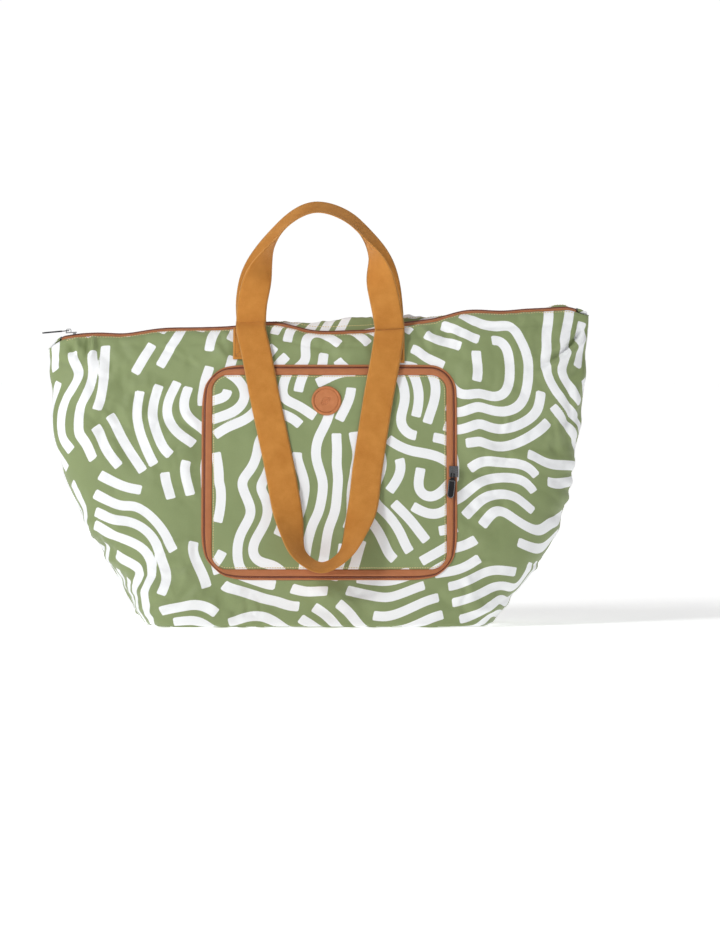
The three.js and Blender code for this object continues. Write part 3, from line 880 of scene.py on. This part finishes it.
def surface_normals(surface, flip):
    across = np.gradient(surface, axis=1)
    up = np.gradient(surface, axis=0)
    return unit(np.cross(across, up) * (-1 if flip else 1))


STROKES = {side: squiggles((-372, 0), (372, 425), 11 - 3 * side) for side in ENDS}

for side, end in ENDS.items():
    surface, flat = cloth_surface(side)
    normals = surface_normals(surface, side > 0)
    x, z = surface[..., 0], surface[..., 2]
    hold = np.ones((ROWS, 1))
    hold[:5, 0] = np.linspace(0, 1, 5)
    hold[-7:, 0] = np.linspace(1, 0, 7)
    seam = smooth((1 - np.abs(np.linspace(-1, 1, COLUMNS))) / 0.05)[None]
    surface = surface + normals * (relief(side, x, z) * hold * seam)[..., None]
    surface[..., 2] = np.maximum(surface[..., 2], 0.9)
    lip, lip_normals = surface[LIP_ROW], surface_normals(surface, side > 0)[LIP_ROW]
    piece = make_object(end + "_cloth", surface, grid_faces(ROWS, COLUMNS, flip=side > 0), PRINTED, LINING)
    give_cloth(piece, flat[..., 0], flat[..., 1])
    give_print(piece, flat[..., 0], flat[..., 1], STROKES[side])
    thicken(piece)
    follow_mouth(piece)
    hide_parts(end + "_panel_middle", end + "_panel_sides")

    # The topstitching that holds the folded edge, a few millimetres from the zip.
    kept = np.abs(lip[:, 0]) < ZIP_END - 4
    seam_line = stitches(end + "_lip_stitches", lip[kept], lip_normals[kept], CREAM_THREAD, 3.4, 2.4, 0.5)
    follow_mouth(seam_line)

# The base, sewn in under both panels.
across = np.linspace(-1, 1, 151)
along = np.linspace(-1, 1, 61)
u, w = np.meshgrid(np.sin(across * math.pi / 2), along)
base_x = u * (BASE_WIDTH / 2 - 3)
base_y = w * (BASE_DEPTH / 2 - 3) * rounded(u, 9, 2.6)
sag = 0.5 + 0.5 * ripple(base_x, base_y, 70, 51)
base_z = 1.0 + 0.9 * sag * (1 - np.maximum(np.abs(u), np.abs(w)) ** 8)
base_faces = grid_faces(len(along), len(across), flip=True)
base = make_object("bottom_cloth", joined(base_x, base_y, base_z), base_faces, PRINTED, LINING)
give_cloth(base, base_x, base_y)
give_print(base, base_x, base_y, squiggles((-222, -96), (222, 96), 31))
thicken(base)
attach(base, "root")
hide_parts("bottom_panel")

# Bound seam allowances inside the two side seams.
SEAM_STEPS = 150
for end, side in SIDES.items():
    t = np.linspace(0.006, 0.86, SEAM_STEPS)
    height = mix(FOOT, panel_point(-1, float(side), BODY_SHARE)[2], t)
    x = side * (half_width(t) - 4.2) + lean_at(t) + 0.3 * ripple(height, 0 * height, 30, 61)
    spine = joined(x, 0.25 * ripple(height, 0 * height, 40, 62), height)
    ridge = band_profile(3.4, 1.7, 8)
    directions = [np.tile(way, (SEAM_STEPS, 1)) for way in ([0.0, 1, 0], [1.0, 0, 0])]
    rings = sweep(spine, *directions, ridge)
    rings[..., 0] += 0.18 * np.sin(height * 2 * math.pi / 3.2)[:, None]
    piece = rings_object(end + "_seam_tape", rings, TAPE)
    give_cloth(piece, np.tile(ridge[:, 0], (SEAM_STEPS, 1)), np.tile(height[:, None], (1, len(ridge))))
    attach(piece, "root")
    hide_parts(end + "_seam_binding")


# ---------------------------------------------------------------- the main zip
def zip_frame(x, side):
    """The middle of the zip at x, and the directions across it and out of it on one side."""
    _, _, y, z = zip_line(x)
    slope = LIP_TILT[side]
    across = unit(joined(0 * x, 1.0, slope))
    out = unit(joined(0 * x, -slope, 1.0))
    return joined(x, y, z), across, out


TAPE_STEPS = 440
COIL_STEP = 0.55
TOOTH_PITCH = 1.6
TAPE_OUTLINE = np.array(
    [[2.4, -2.5], [3.2, -2.0], [4.6, -2.0], [6.0, -2.5], [7.4, -3.8], [9.6, -4.6], [9.6, -5.2],
     [7.4, -4.6], [5.6, -3.4], [2.8, -3.2]]
)
TAPE_INNER = 2.6  # the tape narrows to this at the side seams

for side, end in ENDS.items():
    x = np.linspace(-ZIP_END, ZIP_END, TAPE_STEPS)
    centre, across, out = zip_frame(x, side)
    ends = rounded(x / (MOUTH_WIDTH / 2), 24, 2)
    reach = (TAPE_INNER + (TAPE_OUTLINE[None, :, 0] - TAPE_INNER) * ends[:, None]) * side
    rings = centre[:, None] + across[:, None] * reach[..., None] + out[:, None] * TAPE_OUTLINE[None, :, 1:]
    if side < 0:
        rings = rings[:, ::-1]
    tape = rings_object(f"{end}_zip_tape", rings, TAPE)
    along = np.tile(x[:, None], (1, len(TAPE_OUTLINE)))
    give_cloth(tape, np.tile(TAPE_OUTLINE[:, 0], (TAPE_STEPS, 1)), along)
    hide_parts(*[f"{end}_zip_tape_{part}" for part in ("left", "middle", "right")])

    x = np.linspace(-ZIP_END, ZIP_END, int(2 * ZIP_END / COIL_STEP))
    centre, across, out = zip_frame(x, side)
    tooth = 0.5 + 0.5 * np.cos(x * 2 * math.pi / TOOTH_PITCH + (math.pi if side > 0 else 0))
    angle = np.arange(8) * math.pi / 4
    round_profile = np.stack([np.cos(angle) * 1.25, np.sin(angle) * 1.2], 1)
    swell = (0.66 + 0.34 * tooth)[:, None, None]
    offset = np.stack([side * (1.35 - 0.25 * tooth), -2.3 + 0 * tooth], 1)[:, None]
    turned = round_profile[None] * swell + offset
    rings = centre[:, None] + across[:, None] * turned[..., :1] + out[:, None] * turned[..., 1:]
    coil = rings_object(f"{end}_zip_coil", rings, COIL)
    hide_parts(*[f"{end}_zip_coil_{part}" for part in ("left", "middle", "right")])
    for piece in (tape, coil):
        follow_mouth(piece)

# The folded tab of printed cloth beyond each end of the zip.
TAB_LENGTH = 12
TAB_STEPS = 26
TAB_SIDES = 22
for end, side in SIDES.items():
    share = np.linspace(0, 1, TAB_STEPS)
    x = side * (ZIP_END + 2.2 + TAB_LENGTH * share)
    z = zip_line(x)[3]
    pinch = 1 - 0.55 * share**2
    angle = np.linspace(0, 2 * math.pi, TAB_SIDES, endpoint=False)
    crinkle = 0.3 * np.sin(3 * angle + 9 * share[:, None])
    loop_y = np.cos(angle)[None] * (2.9 * pinch)[:, None]
    loop_z = (np.sin(angle)[None] * 2.6 - 2.7) * pinch[:, None] + crinkle
    rings = joined(x[:, None] + 0 * loop_y, loop_y, z[:, None] + loop_z)
    if side < 0:
        rings = rings[:, ::-1]
    piece = rings_object(end + "_tab", rings, PRINTED)
    flat_across = np.tile(angle * 2.8, (TAB_STEPS, 1))
    flat_along = np.tile((TAB_LENGTH * share)[:, None], (1, TAB_SIDES))
    give_cloth(piece, flat_across, flat_along)
    give_print(piece, flat_across + 40, flat_along, STROKES[-1])
    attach(piece, "root")
    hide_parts(end + "_zip_end_tab")


# ---------------------------------------------------------------- the pouch on the front
def pouch_outline(inset, count):
    """Points round the pouch from the middle of its right side, their outward normals and their places."""
    corner = POUCH_CORNER - inset
    half_w, half_h = POUCH_WIDTH / 2 - inset, POUCH_HEIGHT / 2 - inset
    arc = np.linspace(0, math.pi / 2, 40)
    points = [np.array([[half_w, 0.0]])]
    for quarter, (sx, sz) in enumerate(((1, 1), (-1, 1), (-1, -1), (1, -1))):
        angle = arc + quarter * math.pi / 2
        middle = np.array([sx * (half_w - corner), sz * (half_h - corner)])
        points.append(middle + corner * np.stack([np.cos(angle), np.sin(angle)], 1))
    points.append(np.array([[half_w, 0.0]]))
    line = np.concatenate(points)
    run = distances(line)
    places = np.linspace(0, run[-1], count, endpoint=False)
    spots = points_along(line, places, run)
    ahead = np.roll(spots, -1, 0) - np.roll(spots, 1, 0)
    normals = unit(np.stack([ahead[:, 1], -ahead[:, 0]], 1))
    return spots + [POUCH_X, POUCH_Z], normals, places


BAND_INSET = 6  # the line round the pouch that its zip follows
BAND_INNER = 13.4  # the sewn inner edge of the zip, which stays where it is


def squeeze(places):
    """How much of its width the zip keeps round the pouch: the corners pull it narrow."""
    width = np.ones(places.shape)
    corner = POUCH_CORNER - BAND_INSET
    to_corner = POUCH_HEIGHT / 2 - BAND_INSET - (1 - math.pi / 4) * corner
    beside = POUCH_WIDTH - 2 * BAND_INSET - (2 - math.pi / 2) * corner
    run = 2 * beside + 4 * to_corner
    corners = (to_corner, to_corner + beside, run - to_corner - beside, run - to_corner)
    for place, narrow in zip(corners, (0.1, 0.4, 0.62, 0.5)):
        width -= narrow * np.exp(-(((places - place) / 24) ** 2))
    return width


def pouch_band(profile, count, name, material):
    """A closed band round the pouch; the profile holds insets from the outline and lifts off the panel."""
    spots, normals, places = pouch_outline(BAND_INSET, count)
    profile = np.asarray(profile, float)
    if profile.ndim == 2:
        profile = np.tile(profile, (count, 1, 1))
    shift = BAND_INSET - (BAND_INNER - (BAND_INNER - profile[..., 0]) * squeeze(places)[:, None])
    x = spots[:, None, 0] + normals[:, None, 0] * shift
    z = spots[:, None, 1] + normals[:, None, 1] * shift
    rings = on_panel(-1, x, z, profile[..., 1])[0]
    piece = rings_object(name, rings, material, closed=True)
    wrapped = np.concatenate([profile, profile[:1]])
    along = np.append(places, places[-1] + 1)[:, None]
    give_cloth(piece, wrapped[..., 0], np.tile(along, (1, profile.shape[1])))
    follow_mouth(piece)
    return piece


POUCH_STEPS = 620
outer_tape = [[-0.2, 0.1], [-0.1, 1.0], [0.7, 1.7], [1.8, 1.7], [2.5, 1.2], [2.6, 0.1]]
inner_tape = [[4.9, 0.1], [4.7, 1.9], [5.5, 2.9], [7.2, 3.4], [9.0, 2.9], [10.6, 3.1], [12.3, 2.6],
              [13.3, 1.5], [BAND_INNER, 0.1]]
outer = pouch_band(outer_tape, POUCH_STEPS, "pouch_tape_outer", TAPE)
inner = pouch_band(inner_tape, POUCH_STEPS, "pouch_tape_inner", TAPE)
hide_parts("pouch_lower_tape")
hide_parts("pouch_upper_tape")

count = 2100
tooth = np.arange(count)
shut = np.where(tooth % 2 == 0, 1.0, -1.0)
angle = np.arange(8) * math.pi / 4
teeth = np.empty((count, 8, 2))
teeth[..., 0] = 3.8 + 0.3 * shut[:, None] + np.cos(-angle)[None] * 1.45
teeth[..., 1] = 0.8 + np.sin(-angle)[None] * (0.9 + 0.3 * (tooth % 3 == 0))[:, None]
coil = pouch_band(teeth, count, "pouch_coil", COIL)
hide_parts("pouch_upper_coil", "pouch_lower_coil")


def pouch_rise(x, z):
    """How far the pouch's own panel stands off the bag: a soft pillow with a turned-in edge."""
    half_w, half_h = POUCH_WIDTH / 2 - 13, POUCH_HEIGHT / 2 - 13
    across, up = np.abs(x - POUCH_X) / half_w, np.abs(z - POUCH_Z) / half_h
    inside = (1 - np.minimum(1, across) ** 5) * (1 - np.minimum(1, up) ** 5)
    pillow = 2.6 + 1.0 * inside + 0.55 * ripple(x, z, 90, 71) * inside + 0.2 * ripple(x, z, 26, 72)
    for line in ((-70, 150, 20, 178, 1, 7), (96, 250, 130, 190, 1, 7)):
        pillow = pillow + 0.5 * fold(x, z, line)
    return pillow


PANEL_STEPS = 520
outline, _, _ = pouch_outline(13.0, PANEL_STEPS)
centre = np.array([POUCH_X, POUCH_Z])
shells = np.concatenate([np.linspace(0, 0.9, 74), np.linspace(0.9, 1, 14)[1:]])
disc = centre + (outline - centre)[None] * shells[:, None, None]
edge_gap = (1 - shells)[:, None] * 125
rise = pouch_rise(disc[..., 0], disc[..., 1]) - 1.5 * np.exp(-edge_gap / 1.3)
points = on_panel(-1, disc[..., 0], disc[..., 1], rise)[0]
faces = grid_faces(len(shells), PANEL_STEPS, wrap=True, flip=True)
panel = make_object("pouch_cloth", points, faces, PRINTED, LINING)
close_seam(panel)
give_cloth(panel, disc[..., 0], disc[..., 1])
give_print(panel, disc[..., 0], disc[..., 1], squiggles((-150, 60), (178, 332), 47))
thicken(panel)
follow_mouth(panel)
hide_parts("pouch_panel")

spots, _, _ = pouch_outline(15.2, 900)
path, out = on_panel(-1, spots[:, 0], spots[:, 1], pouch_rise(spots[:, 0], spots[:, 1]) - 0.1)
piece = stitches("pouch_stitches", path, out, CREAM_THREAD, pitch=3.2, length=2.2, radius=0.5, closed=True)
follow_mouth(piece)


# ---------------------------------------------------------------- badge
def leaf_motif(x, y):
    """A plain pressed leaf, 0 outside it and up to 1 in its hollow."""
    turn = math.radians(38)
    along = x * math.cos(turn) + y * math.sin(turn)
    aside = -x * math.sin(turn) + y * math.cos(turn)
    share = np.clip((along + 8.5) / 17, 0, 1)
    half = 4.3 * np.sin(math.pi * share**0.85) ** 0.8
    blade = smooth((half - np.abs(aside)) / 0.7)
    vein = smooth((np.abs(aside) - 0.35) / 0.4)
    ribs = smooth((np.abs(np.mod(along + np.abs(aside) * 1.1, 3.2) - 1.6) - 0.2) / 0.35)
    return blade * vein * mix(0.55, 1, ribs)


seat, out = on_panel(-1, BADGE_X, BADGE_Z, 0.9 + 1.0 + 0.6, shaped=False)
badge_right = unit(np.array([1.0, 0, 0]) - out * out[0])
badge_up = np.cross(out, badge_right) * -1
badge_up = badge_up if badge_up[2] > 0 else -badge_up
radii = np.concatenate([np.linspace(0.05, 14.4, 58), np.linspace(14.6, BADGE_RADIUS, 26)])
BADGE_STEPS = 160
BADGE_SEWN = 15.1  # radius of its ring of stitches
turns = np.linspace(0, 2 * math.pi, BADGE_STEPS, endpoint=False)
r, a = np.meshgrid(radii, turns, indexing="ij")
local_x, local_y = r * np.cos(a), r * np.sin(a)
height = 2.1 + 1.5 * np.exp(-(((r - 17.1) / 1.15) ** 2)) - 0.45 * np.exp(-(((r - BADGE_SEWN) / 0.45) ** 2))
height = height - 0.8 * leaf_motif(local_x, local_y) - 1.2 * smooth((r - 18.3) / 0.7)
height = height + 0.1 * ripple(local_x, local_y, 9, 81)
face = seat + badge_right * local_x[..., None] + badge_up * local_y[..., None] + out * height[..., None]
rim = seat + badge_right * local_x[-1:, :, None] + badge_up * local_y[-1:, :, None] + out * 0.0
points = np.concatenate([face, rim])
faces = grid_faces(len(radii) + 1, BADGE_STEPS, wrap=True) + [list(range(BADGE_STEPS))[::-1]]
faces.append([len(radii) * BADGE_STEPS + i for i in range(BADGE_STEPS)])
flipped = np.cross(badge_right, badge_up) @ out < 0
badge = make_object("badge_disc", points, [f[::-1] for f in faces] if flipped else faces, LEATHER)
give_cloth(badge, np.concatenate([local_x, local_x[-1:]]), np.concatenate([local_y, local_y[-1:]]))
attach(badge, "front_leaf")
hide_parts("badge")
ring = badge_right * np.cos(turns)[:, None] + badge_up * np.sin(turns)[:, None]
ring = seat + ring * BADGE_SEWN + out * 1.75
piece = stitches(
    "badge_stitches", ring, np.tile(out, (BADGE_STEPS, 1)), BROWN_THREAD,
    pitch=2.2, length=1.6, radius=0.28, closed=True,
)
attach(piece, "front_leaf")


# ---------------------------------------------------------------- handles
def smooth_curve(points, count):
    """Evenly spaced points along a centripetal Catmull-Rom curve through the given ones."""
    points = np.asarray(points, float)
    padded = np.concatenate([[2 * points[0] - points[1]], points, [2 * points[-1] - points[-2]]])
    dense = []
    for p0, p1, p2, p3 in zip(padded, padded[1:], padded[2:], padded[3:]):
        d0, d1, d2 = [math.sqrt(np.linalg.norm(b - a)) for a, b in ((p0, p1), (p1, p2), (p2, p3))]
        m1 = ((p1 - p0) / d0 - (p2 - p0) / (d0 + d1) + (p2 - p1) / d1) * d1
        m2 = ((p2 - p1) / d1 - (p3 - p1) / (d1 + d2) + (p3 - p2) / d2) * d1
        s = np.linspace(0, 1, 60, endpoint=False)[:, None]
        hermite = (2 * s**3 - 3 * s**2 + 1) * p1 + (s**3 - 2 * s**2 + s) * m1
        dense.append(hermite + (3 * s**2 - 2 * s**3) * p2 + (s**3 - s**2) * m2)
    line = np.concatenate([*dense, points[-1:]])
    run = distances(line)
    places = np.linspace(0, run[-1], count)
    return points_along(line, places, run), places


def strap(name, centres, places, near, outward, angles):
    """Flat webbing along centres; near is the direction its outer edge turns to by its middle."""
    tangent = unit(np.gradient(centres, axis=0))
    towards = unit(near - tangent * (near * tangent).sum(1, keepdims=True))
    out = np.cross(tangent, towards) * outward
    width = out * np.sin(angles)[:, None] + towards * np.cos(angles)[:, None]
    face = np.cross(tangent, width)
    profile = band_profile(WEB_WIDTH, WEB_THICKNESS, 14)
    cup = 0.5 * ripple(places[:, None], 0.3 * profile[None, :, 0], 70, 91)
    rings = sweep(centres, width, face, profile) + face[:, None] * cup[..., None]
    piece = rings_object(name, rings, WEBBING)
    give_cloth(piece, np.tile(profile[:, 0], (len(places), 1)), np.tile(places[:, None], (1, len(profile))))
    return piece


# Each loop from foot to foot: across in halves of the handles' spacing, then the share of its reach.
SHORT_LOOP = [(-0.96, 0), (-0.94, 0.22), (-0.8, 0.54), (-0.48, 0.86), (-0.06, 1), (0.42, 0.91),
              (0.76, 0.66), (0.9, 0.36), (1, 0)]
LONG_LOOP = [(-0.96, 0), (-0.88, 0.1), (-0.76, 0.28), (-0.55, 0.57), (-0.42, 0.78), (-0.28, 0.94),
             (0.05, 1), (0.38, 0.94), (0.6, 0.77), (0.69, 0.57), (0.84, 0.28), (0.95, 0.1), (1, 0)]
SHORT_STEPS = 230
LONG_STEPS = 330
SHORT_APEX = 20.5  # how far in front of the zip, or behind it, a short loop's top is
SHORT_LIFT = 2.4
SHORT_GAP = 4.5
SHORT_BOW = {-1: -1.4, 1: 4.2}  # how far its legs bow outwards
SHORT_FORWARD_BOW = 9
SHORT_TOP = {-1: 526, 1: 533}
SHORT_TURN = {-1: -4, 1: 22}  # degrees of its quarter turn left at the top
LONG_TURN = 28
LONG_BOTTOM = 72
LONG_LIFT = 6.8
LONG_DROP = 6


def foot_height(x):
    return mix(PATCH_TOPS[-1], PATCH_TOPS[1], (x / PATCH_OFFSET + 1) / 2) + SHORT_GAP


def turning(share, start, end, final):
    return mix(math.pi / 2, math.radians(final), smooth((share - start) / (end - start)))


def short_handle(side):
    apex = SHORT_TOP[side]
    points = []
    for x, up in SHORT_LOOP:
        foot = on_panel(side, x * PATCH_OFFSET, foot_height(x * PATCH_OFFSET), SHORT_LIFT, shaped=False)[0]
        wide = np.sign(x) * SHORT_BOW[side] * math.sin(math.pi * up)
        y = mix(foot[1], side * SHORT_APEX, up) + side * SHORT_FORWARD_BOW * math.sin(math.pi * up)
        points.append([x * PATCH_OFFSET + wide, y, mix(foot[2], apex, up)])
    for place, x in ((0, -0.96), (len(points) + 1, 1)):
        z = foot_height(x * PATCH_OFFSET) - 7
        low = on_panel(side, x * PATCH_OFFSET, z, SHORT_LIFT - 0.4, shaped=False)[0]
        points.insert(place, low.tolist())
    centres, places = smooth_curve(points, SHORT_STEPS)
    base = foot_height(0)
    angles = turning((centres[:, 2] - base) / (apex - base), 0.22, 0.85, SHORT_TURN[side])
    near = np.tile([0.0, side, 0], (SHORT_STEPS, 1))
    return strap(f"{ENDS[side]}_short_loop", centres, places, near, side, angles)


def long_handle(side):
    base = foot_height(0) - LONG_DROP

    def turned(z):
        return turning((base - z) / (base - LONG_BOTTOM), 0.66, 0.97, LONG_TURN)

    points = []
    for x, down in LONG_LOOP:
        z = mix(foot_height(x * PATCH_OFFSET) - LONG_DROP, LONG_BOTTOM, down)
        edge_on = math.cos(turned(z))
        lift = LONG_LIFT + edge_on * (WEB_WIDTH / 2 + 1)
        points.append(on_panel(side, x * PATCH_OFFSET, z, lift, shaped=False)[0].tolist())
    for place, x, rise in ((0, -0.96, 9), (len(points) + 1, 1, 3)):
        z = foot_height(x * PATCH_OFFSET) - LONG_DROP + rise
        points.insert(place, on_panel(side, x * PATCH_OFFSET, z, 4.3, shaped=False)[0].tolist())
    centres, places = smooth_curve(points, LONG_STEPS)
    near = on_panel(side, centres[:, 0], centres[:, 2], shaped=False)[1]
    return strap(f"{ENDS[side]}_long_loop", centres, places, near, -side, turned(centres[:, 2]))


def box_stitches(name, side, x, low, high, lift):
    """A sewn box with a cross in it."""
    w, h = WEB_WIDTH / 2 - 3, (high - low) / 2 - 3
    corners = [(-w, -h), (w, -h), (w, h), (-w, h), (-w, -h), (w, h), (w, -h), (-w, h)]
    path, out = [], []
    for (xa, za), (xb, zb) in zip(corners, corners[1:]):
        t = np.linspace(0, 1, 24)
        spots, normals = on_panel(side, x + mix(xa, xb, t), (low + high) / 2 + mix(za, zb, t), lift)
        path.append(spots)
        out.append(normals)
    piece = stitches(name, np.concatenate(path), np.concatenate(out), BROWN_THREAD, 2.7, 2.0, 0.3)
    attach(piece, ENDS[side] + "_leaf")


PATCH_STEPS = 34
for side, end in ENDS.items():
    for name, way in SIDES.items():
        top = PATCH_TOPS[way] + 1.2
        heights = np.linspace(top - PATCH_HEIGHT - 0.6, top, PATCH_STEPS)
        ends_soft = np.minimum(1, np.minimum(heights - heights[0], heights[-1] - heights) / 1.0 + 0.35)
        profile = band_profile(WEB_WIDTH, 2.4, 14)
        lifts = 2.1 + profile[None, :, 1] * ends_soft[:, None]
        across = np.tile(profile[:, 0], (PATCH_STEPS, 1))
        along = np.tile(heights[:, None], (1, len(profile)))
        rings = on_panel(side, way * PATCH_OFFSET + across, along, lifts)[0]
        if side < 0:
            rings = rings[:, ::-1]
        patch = rings_object(f"{end}_{name}_patch", rings, WEBBING)
        give_cloth(patch, across if side > 0 else across[:, ::-1], along)
        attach(patch, end + "_leaf")
        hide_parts(f"{end}_{name}_handle_patch")
        sewn = f"{end}_{name}_patch_stitches"
        box_stitches(sewn, side, way * PATCH_OFFSET, top - PATCH_HEIGHT, top, 3.35)
    short = short_handle(side)
    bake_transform(short)
    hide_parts(end + "_short_handle")
    long = long_handle(side)
    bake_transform(long)
    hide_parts(end + "_long_handle")


# ---------------------------------------------------------------- zip hardware
def keep_node(name, material, edge=0.3):
    """Leaves a CAD node showing, with soft edges and a finished material."""
    node = frame["nodes"][name]
    node.data.materials.clear()
    node.data.materials.append(material)
    bevel = node.modifiers.new("soft_edges", "BEVEL")
    bevel.width = edge * MM
    bevel.segments = 3
    bevel.limit_method = "ANGLE"
    bevel.angle_limit = math.radians(28)
    bevel.harden_normals = True


keep_node("zip_slider", SILVER)
keep_node("zip_pull", BLACK)
keep_node("pouch_slider", SILVER)
keep_node("pouch_pull", BLACK)

# The crimped stop at each end of the main zip.
for end, way in SIDES.items():
    x = way * (ZIP_END + np.linspace(0.1, 2.5, 9))
    centre = joined(x, 0 * x, zip_line(x)[3] - 2.3)
    swell = (1 - np.abs(np.linspace(-1, 1, 9)) ** 6 * 0.35)[:, None, None]
    angle = np.linspace(0, 2 * math.pi, 20, endpoint=False)
    waist = 1 - 0.25 * np.cos(2 * angle)
    bean = np.stack([3.2 * np.cos(angle), 1.7 * np.sin(angle) * waist], 1)[None] * swell
    rings = centre[:, None] + joined(0.0, bean[..., 0], bean[..., 1])
    piece = rings_object(end + "_stop", rings[:, ::-1] if way < 0 else rings, SILVER)
    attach(piece, "root")
    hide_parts(end + "_zip_stop")


def hinge_frame(joint_name, node):
    """A pull's own frame: its pivot, then x away from its tip, y along its hinge and z out of its face."""
    joint = next(j for j in frame["joints"] if j["name"] == joint_name)
    pivot = np.array(joint["pos_m"]) / MM - ORIGIN
    y = unit(np.array(joint["axis"], float))
    points = np.array([v.co for v in frame["nodes"][node].data.vertices]) / MM - ORIGIN
    x = pivot - points.mean(0)
    x = unit(x - y * (x @ y))
    return pivot, x, y, np.cross(x, y)


RIM_STEPS = 90


def pull_rims(name, joint_name, node, body, length, width):
    """A raised rim on each face of a pull."""
    pivot, x, y, z = hinge_frame(joint_name, node)
    half = width / 2 - 0.75
    turn = np.linspace(-math.pi / 2, math.pi / 2, 15)
    near = -9.0
    far = -length + width / 2
    tip = [(far - half * math.cos(a), -half * math.sin(a)) for a in turn]
    line = np.array([(near, half), *tip, (near, -half), (near, half)])
    run = distances(line)
    spots = points_along(line, np.linspace(0, run[-1], RIM_STEPS, endpoint=False), run)
    ahead = unit(np.roll(spots, -1, 0) - np.roll(spots, 1, 0))
    for face, lift in (("front", 0.6), ("back", -0.6)):
        centres = pivot + np.outer(spots[:, 0], x) + np.outer(spots[:, 1], y) + z * lift
        tangent = np.outer(ahead[:, 0], x) + np.outer(ahead[:, 1], y)
        aside = np.cross(tangent, z)
        angle = np.arange(8) * math.pi / 4
        ring = np.stack([np.cos(angle), np.sin(angle)], 1) * 0.42
        rings = sweep(centres, aside, np.tile(z, (RIM_STEPS, 1)), ring)
        piece = rings_object(f"{name}_rim_{face}", rings, SILVER, closed=True)
        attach(piece, body)


pull_rims("pouch_pull", "pouch_pull_flip", "pouch_pull", "pouch_pull_body", length=31, width=9)
pull_rims("main_pull", "main_pull_flip", "zip_pull", "main_pull", length=34, width=7)


# ---------------------------------------------------------------- floor, light and camera
def floor_disc():
    """White paper out to the horizon, glowing a little less round the bag so that its shadow shows."""
    radii = np.concatenate([[1.0], np.geomspace(200, 30000, 24)])
    turns = np.linspace(0, 2 * math.pi, 64, endpoint=False)
    points = joined(np.outer(radii, np.cos(turns)), np.outer(radii, np.sin(turns)), -0.05)
    floor = make_object("floor", points, grid_faces(len(radii), 64, wrap=True), floor_look())


def aimed(name, data, place, towards):
    """A light or camera that stands at a place and looks in a direction."""
    holder = bpy.data.objects.new(name, data)
    holder.location = place
    holder.rotation_mode = "QUATERNION"
    holder.rotation_quaternion = towards.to_track_quat("-Z", "Y")
    bpy.context.scene.collection.objects.link(holder)
    return holder


def area_light(name, place, target, size, power):
    light = bpy.data.lights.new(name, "AREA")
    light.shape = "DISK"
    light.size = size
    light.energy = power
    aimed(name, light, place, Vector(target) - Vector(place))


floor_disc()
area_light("key", (-2.3, -2.2, 2.5), (0, 0, 0.25), 0.9, 73)
area_light("fill", (2.4, -2.6, 0.9), (0, 0, 0.2), 2.2, 3)
area_light("top", (0.2, 0.6, 3.0), (0, 0, 0.2), 2.0, 14)

world = bpy.data.worlds.new("studio")
world.use_nodes = True
bright = world.node_tree.nodes["Background"]
bright.inputs["Color"].default_value = (1, 1, 1, 1)
direction = world.node_tree.nodes.new("ShaderNodeTexCoord")
parts = world.node_tree.nodes.new("ShaderNodeSeparateXYZ")
band = world.node_tree.nodes.new("ShaderNodeMapRange")
world.node_tree.links.new(direction.outputs["Generated"], parts.inputs[0])
world.node_tree.links.new(parts.outputs["Z"], band.inputs["Value"])
world.node_tree.links.new(band.outputs["Result"], bright.inputs["Strength"])
for key, value in (("From Min", 0.12), ("From Max", 0.3), ("To Min", 1.02), ("To Max", 0.12)):
    band.inputs[key].default_value = value
bpy.context.scene.world = world
bpy.context.scene.view_settings.view_transform = "Standard"

CAMERA_DISTANCE = 6.5
CAMERA_RISE = math.radians(1.5)
FRAME_WIDTH = 0.9194  # what the camera takes in at the middle of the bag
TARGET = Vector((0.0570, 0.0, 0.2045))
camera = bpy.data.cameras.new("camera")
camera.sensor_fit = "HORIZONTAL"
camera.sensor_width = 36
camera.lens = 36 * CAMERA_DISTANCE / FRAME_WIDTH
camera.clip_end = 60
back = Vector((0, -math.cos(CAMERA_RISE), math.sin(CAMERA_RISE)))
bpy.context.scene.camera = aimed("camera", camera, TARGET + back * CAMERA_DISTANCE, -back)
